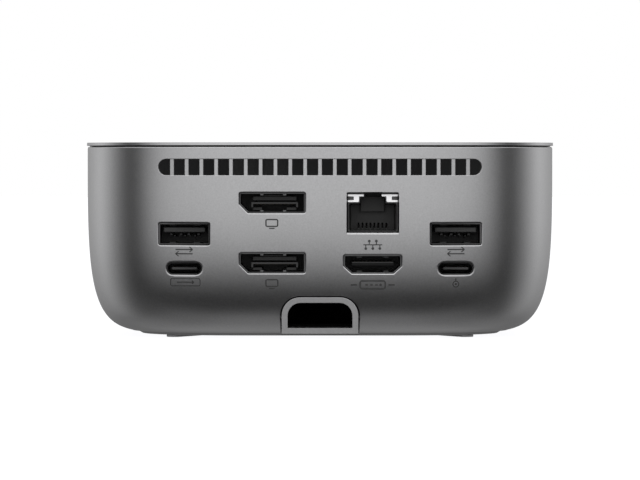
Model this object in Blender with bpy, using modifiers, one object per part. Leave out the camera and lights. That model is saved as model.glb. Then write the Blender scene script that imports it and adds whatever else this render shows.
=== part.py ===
"""Laptop docking station: a rounded, bowl-shaped block with its large ports on the rear face.

Units are metres and +Z is up. The origin is on the table, under the middle of the dock.
The rear face looks along -Y and the user's side along +Y.
"""
import math

import bmesh
import bpy
from mathutils import Matrix, Vector

MM = 0.001

# Enclosure
SHELL_HALF = 61.0 * MM          # half width of the shell at its top edge
SHELL_TOP = 49.3 * MM
SHELL_EDGE = 1.3 * MM           # height of the shell's lower edge
SHELL_WALL = 1.8 * MM
SIDE_FLAT = 19.0 * MM           # half length of the straight part of each side
CORNER_POWER = 2.25             # superellipse power of the corners in plan
BOWL_FLOOR = 0.7 * MM           # height at which the bowl's curve would close
BOWL_POWER_DOWN = 3.96
BOWL_POWER_IN = 13.43
SHELL_RINGS = 11
CORNER_STEPS = 8

COVER_TOP = 50.4 * MM
COVER_EDGE = 0.82 * MM          # thickness of the top cover
COVER_OVERHANG = 0.2 * MM
LIP_GAP = 0.4 * MM
LIP_WALL = 1.4 * MM
LIP_BOTTOM = 48.1 * MM
POST_X = 11.0 * MM              # two posts under the cover carry the button's board
POST_RADIUS = 1.8 * MM
POST_BOTTOM = 41.8 * MM
FUSE_DEPTH = 0.4 * MM           # how far fused shapes reach into each other

PLATE_BOTTOM = 0.6 * MM         # underside of the bottom cover
PLATE_TOP = 2.35 * MM
PLATE_INSET = 13.1 * MM

FOOT_OUTER_X = 40.05 * MM
FOOT_INNER_X = 30.5 * MM
FOOT_NEAR_Y = 40.3 * MM
FOOT_FAR_Y = 12.0 * MM
FOOT_SLANT_X = 36.65 * MM       # where the slanted end of the foot meets its near edge
FOOT_SLANT_Y = 26.5 * MM        # where it meets the inner edge
FOOT_CORNER = 3.0 * MM
FOOT_RECESS_TOP = 1.35 * MM

# Cable portal in the rear, part of the bottom cover
PORTAL_HALF = 9.85 * MM
PORTAL_TOP = 10.8 * MM
PORTAL_BOTTOM = 1.0 * MM
PORTAL_RADIUS = 4.8 * MM
PORTAL_FACE = -58.7 * MM
PORTAL_BACK = -45.5 * MM
PORTAL_GAP = 0.3 * MM
TUNNEL_HALF = 8.25 * MM
TUNNEL_TOP = 9.3 * MM
TUNNEL_SILL = 2.9 * MM
TUNNEL_RADIUS = 3.3 * MM
TUNNEL_END = -17.0 * MM
TUNNEL_WALL = 1.2 * MM
TUNNEL_ROOF = 10.45 * MM        # top of the tunnel's outside
HOST_Z = 6.4 * MM               # height of the socket at the tunnel's inner end

# Vent row across the top of the rear face
VENT_Z = 44.03 * MM
VENT_HALF_HEIGHT = 2.07 * MM
VENT_HALF_LENGTH = 41.4 * MM
VENT_PITCH = 3.788 * MM
VENT_BAR = 1.02 * MM
VENT_BARS_EACH_SIDE = 10

# Boards and heights inside
BOARD_BOTTOM = 14.3 * MM
BOARD_TOP = 15.9 * MM
BOARD_INSET = 7.5 * MM
GAP = 0.3 * MM                  # clearance between neighbouring pieces
CHASSIS_BOTTOM = 11.5 * MM
SCREW_X = 35.5 * MM
SCREW_Y = 28.0 * MM
SCREW_HOLE_RADIUS = 1.5 * MM
BOSS_RADIUS = 4.0 * MM
BOSS_TOP = 4.4 * MM
COUNTERBORE_RADIUS = 2.9 * MM
COUNTERBORE_TOP = 2.8 * MM

# Ports on the rear face
CENTRE_FRONT = -59.4 * MM       # front plane of the two middle connector stacks
CORNER_FRONT = -55.3 * MM       # front plane of the two outer connector stacks
CENTRE_BODY_FRONT = -57.2 * MM
CORNER_BODY_FRONT = -51.0 * MM
METAL = 0.3 * MM                # wall of a connector's metal shell
METAL_GAP = 0.2 * MM            # between a metal shell and the cut-out around it
USB_X = 34.75 * MM
USB_A_Z = 26.93 * MM
USB_A_SIZE = (13.34 * MM, 5.86 * MM)
USB_A_TONGUE = (10.8 * MM, 1.45 * MM)
USB_A_TONGUE_RISE = 1.05 * MM   # tongue's centre above the socket's centre
USB_C_TONGUE = (6.6 * MM, 0.7 * MM)
USB_C_Z = 18.1 * MM
USB_C_SIZE = (9.2 * MM, 3.2 * MM)
DISPLAY_X = -12.19 * MM
DISPLAY_UPPER_Z = 34.93 * MM
DISPLAY_LOWER_Z = 19.56 * MM
DISPLAY_SIZE = (16.95 * MM, 5.37 * MM)
DISPLAY_CHAMFER = 2.3 * MM
VIDEO_X = 13.45 * MM
VIDEO_Z = 19.25 * MM
VIDEO_SIZE = (14.9 * MM, 4.9 * MM)
VIDEO_STRAIGHT = 3.0 * MM       # height of the straight sides, measured from the top
VIDEO_FLOOR = 10.7 * MM         # width of the bottom
JACK_X = 13.48 * MM
JACK_Z = 32.45 * MM
JACK_SIZE = (13.24 * MM, 10.3 * MM)

# Ports on the front and the sides
FRONT_FACE = 59.4 * MM
FRONT_USB_C_X = 14.0 * MM
AUDIO_X = -14.0 * MM
AUDIO_Z = 19.6 * MM
AUDIO_RADIUS = 3.0 * MM
POWER_INLET_Y = 8.0 * MM
POWER_INLET_Z = 21.8 * MM
POWER_INLET_RADIUS = 3.3 * MM
POWER_INLET_FACE = -59.3 * MM
LOCK_Y = 8.0 * MM
LOCK_Z = 26.0 * MM
LOCK_SIZE = (7.0 * MM, 3.0 * MM)

# Power button in the top cover
BUTTON_Y = 44.0 * MM
BUTTON_RADIUS = 6.6 * MM
BUTTON_TRAVEL = 0.8 * MM
LIGHT_RING_INNER = 6.9 * MM
LIGHT_RING_OUTER = 8.0 * MM
BUTTON_HOLE_RADIUS = 8.3 * MM

# Blower under the top cover
FAN_CENTRE_Y = -2.0 * MM
FAN_BOTTOM = 39.0 * MM
FAN_TOP = 46.7 * MM
FAN_WALL = 1.2 * MM
FAN_BODY_RADIUS = 33.5 * MM
FAN_MOUTH_HALF = 42.5 * MM
FAN_MOUTH_Y = -52.4 * MM
ROTOR_RADIUS = 28.0 * MM
ROTOR_HUB = 12.0 * MM
ROTOR_BLADES = 15
SPINDLE_RADIUS = 1.5 * MM
SPINDLE_CLEARANCE = 0.08 * MM

MATERIALS = {
    "satin_metal": ((0.30, 0.30, 0.31), 0.85, 0.38),
    "cover_metal": ((0.36, 0.36, 0.37), 0.85, 0.35),
    "frame_metal": ((0.34, 0.34, 0.35), 0.70, 0.42),
    "black_plastic": ((0.015, 0.015, 0.016), 0.0, 0.45),
    "connector_metal": ((0.10, 0.10, 0.105), 0.9, 0.35),
    "tongue_plastic": ((0.05, 0.05, 0.052), 0.0, 0.5),
    "rubber": ((0.03, 0.03, 0.03), 0.0, 0.85),
    "circuit_board": ((0.02, 0.09, 0.04), 0.0, 0.45),
    "chip": ((0.02, 0.02, 0.022), 0.0, 0.4),
    "aluminium": ((0.62, 0.63, 0.64), 1.0, 0.4),
    "steel": ((0.55, 0.55, 0.56), 1.0, 0.3),
    "light_guide": ((0.85, 0.86, 0.86), 0.0, 0.3),
    "thermal_pad": ((0.30, 0.38, 0.50), 0.0, 0.9),
}


# ---------------------------------------------------------------- outlines

def arc(centre, radius, start, end, steps):
    """Points on a circular arc, both ends included, angles in degrees."""
    points = []
    for step in range(steps + 1):
        angle = math.radians(start + (end - start) * step / steps)
        points.append((centre[0] + radius * math.cos(angle), centre[1] + radius * math.sin(angle)))
    return points


def circle(centre, radius, steps=32):
    return arc(centre, radius, 0, 360, steps)[:-1]


def rounded_box(centre, size, radius, steps=4):
    """A rectangle with round corners, counter-clockwise."""
    half_w = size[0] / 2 - radius
    half_h = size[1] / 2 - radius
    corners = ((1, 1, 0), (-1, 1, 90), (-1, -1, 180), (1, -1, 270))
    points = []
    for side_x, side_y, start in corners:
        middle = (centre[0] + side_x * half_w, centre[1] + side_y * half_h)
        points += arc(middle, radius, start, start + 90, steps)
    return points


def plan_outline(inset, steps=CORNER_STEPS):
    """The dock's rounded square in plan, drawn inset from the shell's top edge."""
    corner = SHELL_HALF - inset - SIDE_FLAT
    points = []
    for quarter in range(4):
        turn = Matrix.Rotation(math.radians(90 * quarter), 2)
        for step in range(steps + 1):
            angle = math.radians(90 * step / steps)
            along = corner * math.cos(angle) ** (2 / CORNER_POWER) if step < steps else 0.0
            across = corner * math.sin(angle) ** (2 / CORNER_POWER)
            point = turn @ Vector((SIDE_FLAT + along, SIDE_FLAT + across))
            points.append((point.x, point.y))
    return points


def bowl_inset(z):
    """How far the shell has curved inwards at height z."""
    down = (SHELL_TOP - z) / (SHELL_TOP - BOWL_FLOOR)
    return SHELL_HALF * (1 - (1 - down ** BOWL_POWER_DOWN) ** (1 / BOWL_POWER_IN))


def usb_a_outline(x, z, grow=0.0):
    size = (USB_A_SIZE[0] + 2 * grow, USB_A_SIZE[1] + 2 * grow)
    return rounded_box((x, z), size, 0.6 * MM + grow, 3)


def usb_c_outline(x, z, grow=0.0):
    size = (USB_C_SIZE[0] + 2 * grow, USB_C_SIZE[1] + 2 * grow)
    return rounded_box((x, z), size, size[1] / 2 - 0.01 * MM, 4)


def display_outline(x, z, grow=0.0):
    """A wide rectangle whose lower left corner is cut off at 45 degrees."""
    half_w = DISPLAY_SIZE[0] / 2 + grow
    half_h = DISPLAY_SIZE[1] / 2 + grow
    cut = DISPLAY_CHAMFER + grow * (2 - math.sqrt(2))
    radius = 0.6 * MM + grow
    points = arc((x + half_w - radius, z + half_h - radius), radius, 0, 90, 3)
    points += arc((x - half_w + radius, z + half_h - radius), radius, 90, 180, 3)
    points += [(x - half_w, z - half_h + cut), (x - half_w + cut, z - half_h)]
    points += arc((x + half_w - radius, z - half_h + radius), radius, 270, 360, 3)
    return points


def video_outline(x, z, grow=0.0):
    """Straight upper sides, then sides that slope in to a narrower floor."""
    half_w = VIDEO_SIZE[0] / 2 + grow
    half_h = VIDEO_SIZE[1] / 2 + grow
    radius = 0.6 * MM + grow
    slope_top = z + VIDEO_SIZE[1] / 2 - VIDEO_STRAIGHT - 0.6 * grow
    half_floor = VIDEO_FLOOR / 2 + 0.4 * grow
    points = arc((x + half_w - radius, z + half_h - radius), radius, 0, 90, 3)
    points += arc((x - half_w + radius, z + half_h - radius), radius, 90, 180, 3)
    points += [(x - half_w, slope_top), (x - half_floor, z - half_h)]
    points += [(x + half_floor, z - half_h), (x + half_w, slope_top)]
    return points


def jack_outline(x, z, grow=0.0):
    size = (JACK_SIZE[0] + 2 * grow, JACK_SIZE[1] + 2 * grow)
    return rounded_box((x, z), size, 0.5 * MM + grow, 3)


def portal_outline(half, bottom, top, radius):
    """An arch with round upper corners and a square foot."""
    points = arc((half - radius, top - radius), radius, 0, 90, 8)
    points += arc((radius - half, top - radius), radius, 90, 180, 8)
    points += [(-half, bottom), (half, bottom)]
    return points


def vent_slot_outline(left, right):
    """One slot of the vent row, which follows the row's round ends."""
    round_start = VENT_HALF_LENGTH - VENT_HALF_HEIGHT
    top = []
    steps = 6
    for step in range(steps + 1):
        x = left + (right - left) * step / steps
        past = min(max(abs(x) - round_start, 0.0), VENT_HALF_HEIGHT * 0.98)
        top.append((x, math.sqrt(VENT_HALF_HEIGHT ** 2 - past ** 2)))
    if max(abs(left), abs(right)) <= round_start:
        top = [top[0], top[-1]]
    upper = [(x, VENT_Z + height) for x, height in reversed(top)]
    lower = [(x, VENT_Z - height) for x, height in top]
    return upper + lower


def foot_outline(side_x, side_y):
    """A strip beside the rim whose near end is cut at a slant on its inner side."""
    low_x, high_x = FOOT_INNER_X + FOOT_CORNER, FOOT_OUTER_X - FOOT_CORNER
    near_y, far_y = FOOT_NEAR_Y - FOOT_CORNER, FOOT_FAR_Y + FOOT_CORNER
    points = arc((high_x, near_y), FOOT_CORNER, 0, 90, 4)
    points += [(FOOT_SLANT_X, FOOT_NEAR_Y), (FOOT_INNER_X, FOOT_SLANT_Y)]
    points += arc((low_x, far_y), FOOT_CORNER, 180, 270, 4)
    points += arc((high_x, far_y), FOOT_CORNER, 270, 360, 4)
    return [(side_x * x, side_y * y) for x, y in points]


def sector_outline(centre, inner, outer, start, end, steps):
    """Part of a flat ring."""
    return arc(centre, outer, start, end, steps) + arc(centre, inner, end, start, steps)


# ---------------------------------------------------------------- Blender helpers

def clear_scene():
    for scene_object in list(bpy.data.objects):
        bpy.data.objects.remove(scene_object, do_unlink=True)


def make_collection(name):
    collection = bpy.data.collections.new(name)
    bpy.context.scene.collection.children.link(collection)
    return collection


def finish_of(name):
    colour, metallic, roughness = MATERIALS[name]
    material = bpy.data.materials.new(name)
    material.use_nodes = True
    shader = material.node_tree.nodes["Principled BSDF"]
    shader.inputs["Base Color"].default_value = (*colour, 1.0)
    shader.inputs["Metallic"].default_value = metallic
    shader.inputs["Roughness"].default_value = roughness
    return material


def add_object(name, mesh, finish, matrix=None):
    """Link a mesh as a part of the dock, or as a cutter when it has no finish."""
    new_object = bpy.data.objects.new(name, mesh)
    new_object.matrix_world = matrix or Matrix.Identity(4)
    if finish:
        PARTS.objects.link(new_object)
        mesh.materials.clear()
        mesh.materials.append(finish_of(finish))
        mesh.shade_smooth()
        mesh.set_sharp_from_angle(angle=math.radians(35))
    else:
        CUTTERS.objects.link(new_object)
        new_object.hide_render = True
        new_object.display_type = "WIRE"
    return new_object


def extruded(name, loops, thickness, matrix, finish=None):
    """A solid from flat outlines: a filled 2D curve, made a mesh with welded caps."""
    curve = bpy.data.curves.new(name + "_outline", "CURVE")
    curve.dimensions = "2D"
    curve.fill_mode = "BOTH"
    curve.extrude = thickness / 2
    for loop in loops:
        spline = curve.splines.new("POLY")
        spline.points.add(len(loop) - 1)
        for point, (x, y) in zip(spline.points, loop):
            point.co = (x, y, 0.0, 1.0)
        spline.use_cyclic_u = True
    outline = bpy.data.objects.new(name + "_outline", curve)
    CUTTERS.objects.link(outline)
    graph = bpy.context.evaluated_depsgraph_get()
    mesh = bpy.data.meshes.new_from_object(outline.evaluated_get(graph))
    mesh.name = name
    bpy.data.objects.remove(outline, do_unlink=True)
    cage = bmesh.new()
    cage.from_mesh(mesh)
    bmesh.ops.remove_doubles(cage, verts=cage.verts, dist=0.001 * MM)
    bmesh.ops.recalc_face_normals(cage, faces=cage.faces)
    cage.to_mesh(mesh)
    cage.free()
    return add_object(name, mesh, finish, matrix)


def slab(name, loops, bottom, top, finish=None):
    """Plan outlines given thickness from one height to another."""
    middle = Matrix.Translation((0.0, 0.0, (bottom + top) / 2))
    return extruded(name, loops, top - bottom, middle, finish)


def bar(name, loops, near, far, finish=None, facing="rear"):
    """Upright outlines of (across, z) given depth: along Y, or along X for the sides."""
    upright = Matrix.Rotation(math.radians(90), 4, "X")
    if facing == "rear":
        place = Matrix.Translation((0.0, (near + far) / 2, 0.0))
    else:
        place = Matrix.Translation(((near + far) / 2, 0.0, 0.0))
        place = place @ Matrix.Rotation(math.radians(90), 4, "Z")
    return extruded(name, loops, abs(far - near), place @ upright, finish)


def box(name, low, high, finish=None):
    """A block between two corners, given in millimetres."""
    cage = bmesh.new()
    bmesh.ops.create_cube(cage, size=1.0)
    size = [(high[i] - low[i]) * MM for i in range(3)]
    bmesh.ops.scale(cage, vec=size, verts=cage.verts)
    mesh = bpy.data.meshes.new(name)
    cage.to_mesh(mesh)
    cage.free()
    middle = [(high[i] + low[i]) / 2 * MM for i in range(3)]
    return add_object(name, mesh, finish, Matrix.Translation(middle))


def rod(name, centre, radius, bottom, top, finish=None, steps=24):
    """An upright cylinder standing at a plan point."""
    cage = bmesh.new()
    bmesh.ops.create_cone(cage, cap_ends=True, segments=steps, radius1=radius, radius2=radius,
                          depth=top - bottom)
    mesh = bpy.data.meshes.new(name)
    cage.to_mesh(mesh)
    cage.free()
    middle = (centre[0], centre[1], (bottom + top) / 2)
    return add_object(name, mesh, finish, Matrix.Translation(middle))


def turned(name, profile, place, finish, steps=32):
    """A turned piece: a profile of (radius, z) from the top of the axis down, spun about Z."""
    cage = bmesh.new()
    rim = [cage.verts.new((radius, 0.0, z)) for radius, z in profile]
    for first, second in zip(rim, rim[1:]):
        cage.edges.new((first, second))
    mesh = bpy.data.meshes.new(name)
    cage.to_mesh(mesh)
    cage.free()
    piece = add_object(name, mesh, finish, Matrix.Translation(place))
    spin = piece.modifiers.new("spin", "SCREW")
    spin.steps = steps
    spin.render_steps = steps
    spin.use_merge_vertices = True
    spin.merge_threshold = 0.001 * MM
    spin.use_smooth_shade = False
    return piece


def cut(target, *cutters):
    for cutter in cutters:
        modifier = target.modifiers.new("cut_" + cutter.name, "BOOLEAN")
        modifier.operation = "DIFFERENCE"
        modifier.solver = "EXACT"
        modifier.object = cutter


def fuse(target, *additions):
    for addition in additions:
        modifier = target.modifiers.new("add_" + addition.name, "BOOLEAN")
        modifier.operation = "UNION"
        modifier.solver = "EXACT"
        modifier.object = addition


# ---------------------------------------------------------------- enclosure

def shell_surface(name):
    """The bowl's outer skin: one plan outline for each height, joined into rings."""
    cage = bmesh.new()
    rings = []
    for step in range(SHELL_RINGS + 1):
        z = SHELL_EDGE + (SHELL_TOP - SHELL_EDGE) * (1 - step / SHELL_RINGS) ** 2.2
        outline = plan_outline(bowl_inset(z))
        rings.append([cage.verts.new((x, y, z)) for x, y in outline])
    for upper, lower in zip(rings, rings[1:]):
        count = len(upper)
        for i in range(count):
            after = (i + 1) % count
            cage.faces.new((upper[i], lower[i], lower[after], upper[after]))
    mesh = bpy.data.meshes.new(name)
    cage.to_mesh(mesh)
    cage.free()
    return mesh


def make_main_shell():
    shell = add_object("main_shell", shell_surface("main_shell"), "satin_metal")
    wall = shell.modifiers.new("wall", "SOLIDIFY")
    wall.thickness = SHELL_WALL
    wall.offset = -1.0
    wall.use_even_offset = True
    outside = -66 * MM
    inside = -49 * MM
    holes = [
        ("usb_a_left", usb_a_outline(-USB_X, USB_A_Z)),
        ("usb_a_right", usb_a_outline(USB_X, USB_A_Z)),
        ("usb_c_left", usb_c_outline(-USB_X, USB_C_Z)),
        ("usb_c_right", usb_c_outline(USB_X, USB_C_Z)),
        ("display_upper", display_outline(DISPLAY_X, DISPLAY_UPPER_Z)),
        ("display_lower", display_outline(DISPLAY_X, DISPLAY_LOWER_Z)),
        ("video", video_outline(VIDEO_X, VIDEO_Z)),
        ("jack", jack_outline(JACK_X, JACK_Z)),
    ]
    port_holes = bar("rear_port_holes", [loop for _, loop in holes], outside, inside)
    cut(shell, port_holes, vent_cutter(outside, inside))
    portal = portal_outline(PORTAL_HALF + PORTAL_GAP, -3 * MM, PORTAL_TOP + PORTAL_GAP,
                            PORTAL_RADIUS + PORTAL_GAP)
    cut(shell, bar("portal_hole", [portal], outside, -40 * MM))
    front_loops = [
        usb_c_outline(FRONT_USB_C_X, USB_C_Z),
        circle((AUDIO_X, AUDIO_Z), AUDIO_RADIUS + GAP, 32),
    ]
    cut(shell, bar("front_port_holes", front_loops, 50 * MM, 66 * MM))
    inlet = circle((POWER_INLET_Y, POWER_INLET_Z), POWER_INLET_RADIUS + 1.6 * MM, 32)
    cut(shell, bar("power_inlet_hole", [inlet], -66 * MM, -50 * MM, facing="side"))
    lock = rounded_box((LOCK_Y, LOCK_Z), LOCK_SIZE, 0.8 * MM)
    cut(shell, bar("lock_hole", [lock], 50 * MM, 66 * MM, facing="side"))


def vent_cutter(outside, inside):
    """The slots between the upright bars."""
    edges = [-VENT_HALF_LENGTH]
    for index in range(-VENT_BARS_EACH_SIDE, VENT_BARS_EACH_SIDE + 1):
        middle = index * VENT_PITCH
        edges += [middle - VENT_BAR / 2, middle + VENT_BAR / 2]
    edges.append(VENT_HALF_LENGTH)
    loops = [vent_slot_outline(left, right) for left, right in zip(edges[::2], edges[1::2])]
    return bar("vent_slots", loops, outside, inside)


def make_top_cover():
    cover_bottom = COVER_TOP - COVER_EDGE
    cover = slab("top_cover", [plan_outline(-COVER_OVERHANG)], cover_bottom, COVER_TOP,
                 "cover_metal")
    lip_outer = SHELL_WALL + LIP_GAP
    lip = slab("cover_lip", [plan_outline(lip_outer, 6), plan_outline(lip_outer + LIP_WALL, 6)],
               LIP_BOTTOM, cover_bottom + FUSE_DEPTH)
    posts = [rod("cover_post", (side * POST_X, BUTTON_Y), POST_RADIUS, POST_BOTTOM,
                 cover_bottom + FUSE_DEPTH, steps=16) for side in (-1, 1)]
    fuse(cover, lip, *posts)
    cut(cover, rod("button_hole", (0.0, BUTTON_Y), BUTTON_HOLE_RADIUS, 47 * MM, 52 * MM, steps=32))


def intake_loops():
    """Two groups of long intake slots across the middle of the bottom cover."""
    loops = []
    for side in (-1, 1):
        for row in range(5):
            y = (row * 6.0 - 10.0) * MM
            loops.append(rounded_box((side * 13 * MM, y), (20 * MM, 2.0 * MM), 0.98 * MM, 2))
    return loops


def make_bottom_cover():
    cover = slab("bottom_cover", [plan_outline(PLATE_INSET)], PLATE_BOTTOM, PLATE_TOP,
                 "frame_metal")
    portal = portal_outline(PORTAL_HALF, PORTAL_BOTTOM, PORTAL_TOP, PORTAL_RADIUS)
    fuse(cover, bar("portal_block", [portal], PORTAL_FACE, PORTAL_BACK))
    screw_places = [(x * SCREW_X, y * SCREW_Y) for x in (-1, 1) for y in (-1, 1)]
    for place in screw_places:
        fuse(cover, rod("screw_boss", place, BOSS_RADIUS, PLATE_TOP - FUSE_DEPTH, BOSS_TOP,
                        steps=16))
    opening = portal_outline(TUNNEL_HALF, TUNNEL_SILL, TUNNEL_TOP, TUNNEL_RADIUS)
    cut(cover, bar("portal_opening", [opening], -62 * MM, -42 * MM))
    foot_loops = [foot_outline(x, y) for x in (-1, 1) for y in (-1, 1)]
    cut(cover, slab("foot_recesses", foot_loops, -1 * MM, FOOT_RECESS_TOP))
    bores = [circle(place, COUNTERBORE_RADIUS, 16) for place in screw_places]
    cut(cover, slab("screw_counterbores", bores, 0.0, COUNTERBORE_TOP))
    holes = [circle(place, SCREW_HOLE_RADIUS, 16) for place in screw_places]
    cut(cover, slab("screw_holes", holes, 0.0, 6 * MM))
    cut(cover, slab("intake_slots", intake_loops(), -1 * MM, 5 * MM))


def make_feet():
    for side_x, name_x in ((-1, "left"), (1, "right")):
        for side_y, name_y in ((-1, "rear"), (1, "front")):
            clear_loop = shrunk(foot_outline(side_x, side_y), 0.25 * MM)
            slab(f"foot_{name_y}_{name_x}", [clear_loop], 0.0, FOOT_RECESS_TOP - GAP, "rubber")


def shrunk(loop, amount):
    """A plan loop moved inwards by an even amount."""
    centre = Vector((sum(x for x, _ in loop), sum(y for _, y in loop))) / len(loop)
    points = []
    count = len(loop)
    for i in range(count):
        before = Vector(loop[i - 1])
        here = Vector(loop[i])
        after = Vector(loop[(i + 1) % count])
        along = (after - before).normalized()
        across = Vector((-along.y, along.x))
        if across.dot(centre - here) < 0:
            across = -across
        moved = here + across * amount
        points.append((moved.x, moved.y))
    return points


def make_case_screws():
    profile = [(0.0, 0.0), (1.1, 0.0), (1.1, -9.0), (2.5, -9.0), (2.5, -9.9), (1.0, -9.9),
               (0.7, -9.5), (0.0, -9.5)]
    profile = [(radius * MM, z * MM) for radius, z in profile]
    for side_x, name_x in ((-1, "left"), (1, "right")):
        for side_y, name_y in ((-1, "rear"), (1, "front")):
            place = (side_x * SCREW_X, side_y * SCREW_Y, 11.5 * MM)
            turned(f"case_screw_{name_y}_{name_x}", profile, place, "steel", 12)


# ---------------------------------------------------------------- connectors on the rear

def connector_shell(name, outline, x, z, front, back):
    """A thin metal tube that stands in the cut-out with a small gap around it."""
    outer = outline(x, z, -METAL_GAP)
    inner = outline(x, z, -METAL_GAP - METAL)
    bar(name, [outer, inner], front, back, "connector_metal")


def stack_body(name, low, high, pockets, floor):
    """The black block of a connector stack, with a blind pocket for each connector."""
    body = box(name, low, high, "black_plastic")
    cut(body, bar(name + "_pockets", pockets, (low[1] - 4) * MM, floor))


def make_usb_stack(side, prefix):
    x = side * USB_X
    pocket_floor = -40.5 * MM
    low = (x / MM - 7.6, CORNER_BODY_FRONT / MM, 16.2)
    high = (x / MM + 7.6, -37.5, 31.2)
    pockets = [usb_a_outline(x, USB_A_Z), usb_c_outline(x, USB_C_Z)]
    stack_body(prefix + "_usb_body", low, high, pockets, pocket_floor)
    shell_back = pocket_floor - GAP
    connector_shell(prefix + "_usb_a_shell", usb_a_outline, x, USB_A_Z, CORNER_FRONT, shell_back)
    connector_shell(prefix + "_usb_c_shell", usb_c_outline, x, USB_C_Z, CORNER_FRONT, shell_back)
    blade = rounded_box((x, USB_A_Z + USB_A_TONGUE_RISE), USB_A_TONGUE, 0.2 * MM, 2)
    bar(prefix + "_usb_a_tongue", [blade], CORNER_FRONT + 1.2 * MM, shell_back, "tongue_plastic")
    blade = rounded_box((x, USB_C_Z), USB_C_TONGUE, 0.3 * MM, 3)
    bar(prefix + "_usb_c_tongue", [blade], CORNER_FRONT + 0.8 * MM, shell_back, "tongue_plastic")


def make_display_stack():
    pocket_floor = -43.5 * MM
    low = (DISPLAY_X / MM - 9.0, CENTRE_BODY_FRONT / MM, 16.2)
    high = (DISPLAY_X / MM + 9.0, -40.5, 38.4)
    pockets = [display_outline(DISPLAY_X, DISPLAY_UPPER_Z), display_outline(DISPLAY_X, DISPLAY_LOWER_Z)]
    stack_body("display_body", low, high, pockets, pocket_floor)
    for level, z in (("upper", DISPLAY_UPPER_Z), ("lower", DISPLAY_LOWER_Z)):
        connector_shell(f"display_{level}_shell", display_outline, DISPLAY_X, z, CENTRE_FRONT,
                        pocket_floor - GAP)
        blade = rounded_box((DISPLAY_X + 0.6 * MM, z - 0.5 * MM), (11.9 * MM, 1.3 * MM), 0.2 * MM, 2)
        bar(f"display_{level}_tongue", [blade], CENTRE_FRONT + 1.5 * MM, pocket_floor - GAP,
            "tongue_plastic")


def jack_cavity():
    """Room for the network plug: a wide body with a stepped slot above it for the latch."""
    x = JACK_X
    bottom = 28.1 * MM
    shoulder = 34.6 * MM
    latch_shoulder = 36.0 * MM
    top = 37.0 * MM
    half_body = 5.95 * MM
    half_latch = 3.0 * MM
    half_top = 1.9 * MM
    return [
        (x - half_body, bottom), (x + half_body, bottom), (x + half_body, shoulder),
        (x + half_latch, shoulder), (x + half_latch, latch_shoulder),
        (x + half_top, latch_shoulder), (x + half_top, top), (x - half_top, top),
        (x - half_top, latch_shoulder), (x - half_latch, latch_shoulder),
        (x - half_latch, shoulder), (x - half_body, shoulder),
    ]


def light_guide_loop(side, grow=0.0):
    """A C-shaped light guide in an upper corner of the network jack."""
    outer = 6.0 * MM + grow
    tip = 2.3 * MM - grow
    block_in = 3.5 * MM - grow
    block_out = 4.85 * MM + grow
    top = 37.05 * MM + grow
    top_under = 36.6 * MM - grow
    arm_under = top_under + 0.06 * MM
    low_over = 35.6 * MM + grow
    low = 35.1 * MM - grow
    points = [(outer, low), (outer, low_over), (block_out, low_over), (block_out, top_under),
              (outer, top_under), (outer, top), (tip, top), (tip, arm_under),
              (block_in, arm_under), (block_in, low)]
    return [(JACK_X + side * x, z) for x, z in points]


def make_video_network_stack():
    pocket_floor = -42.5 * MM
    low = (JACK_X / MM - 8.2, CENTRE_BODY_FRONT / MM, 16.2)
    high = (JACK_X / MM + 8.2, -39.5, 38.6)
    pockets = [video_outline(VIDEO_X, VIDEO_Z), jack_outline(JACK_X, JACK_Z)]
    stack_body("video_network_body", low, high, pockets, pocket_floor)
    connector_shell("video_shell", video_outline, VIDEO_X, VIDEO_Z, CENTRE_FRONT, pocket_floor - GAP)
    blade = rounded_box((VIDEO_X, VIDEO_Z + 0.1 * MM), (10.9 * MM, 1.1 * MM), 0.2 * MM, 2)
    bar("video_tongue", [blade], CENTRE_FRONT + 1.2 * MM, pocket_floor - GAP, "tongue_plastic")

    insert = bar("network_jack_insert", [jack_outline(JACK_X, JACK_Z, -METAL_GAP)], CENTRE_FRONT,
                 pocket_floor - GAP, "black_plastic")
    guide_end = CENTRE_FRONT + 6 * MM
    guides = [light_guide_loop(side, 0.12 * MM) for side in (-1, 1)]
    cut(insert, bar("jack_cavity", [jack_cavity()], -62 * MM, -46 * MM))
    cut(insert, bar("light_guide_slots", guides, -62 * MM, guide_end + GAP))
    for side, name in ((-1, "left"), (1, "right")):
        bar(f"network_light_guide_{name}", [light_guide_loop(side)], CENTRE_FRONT, guide_end,
            "light_guide")


# ---------------------------------------------------------------- host cable socket

def make_host_socket():
    floor = PLATE_TOP + GAP
    outer = portal_outline(TUNNEL_HALF + TUNNEL_WALL, floor, TUNNEL_ROOF,
                           TUNNEL_RADIUS + TUNNEL_WALL)
    inner = portal_outline(TUNNEL_HALF, floor + 0.8 * MM, TUNNEL_TOP, TUNNEL_RADIUS)
    bar("cable_tunnel", [outer, inner], PORTAL_BACK + GAP, TUNNEL_END, "black_plastic")
    bracket = box("host_port_bracket", (-7.9, TUNNEL_END / MM + 0.3, 3.0), (7.9, -8.0, 9.3),
                  "black_plastic")
    cut(bracket, bar("host_port_pocket", [usb_c_outline(0.0, HOST_Z)], -18 * MM, -10 * MM))
    connector_shell("host_port_shell", usb_c_outline, 0.0, HOST_Z, -19.5 * MM, -10.3 * MM)
    blade = rounded_box((0.0, HOST_Z), USB_C_TONGUE, 0.3 * MM, 3)
    bar("host_port_tongue", [blade], -18.8 * MM, -10.3 * MM, "tongue_plastic")


# ---------------------------------------------------------------- board and cooling

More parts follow.
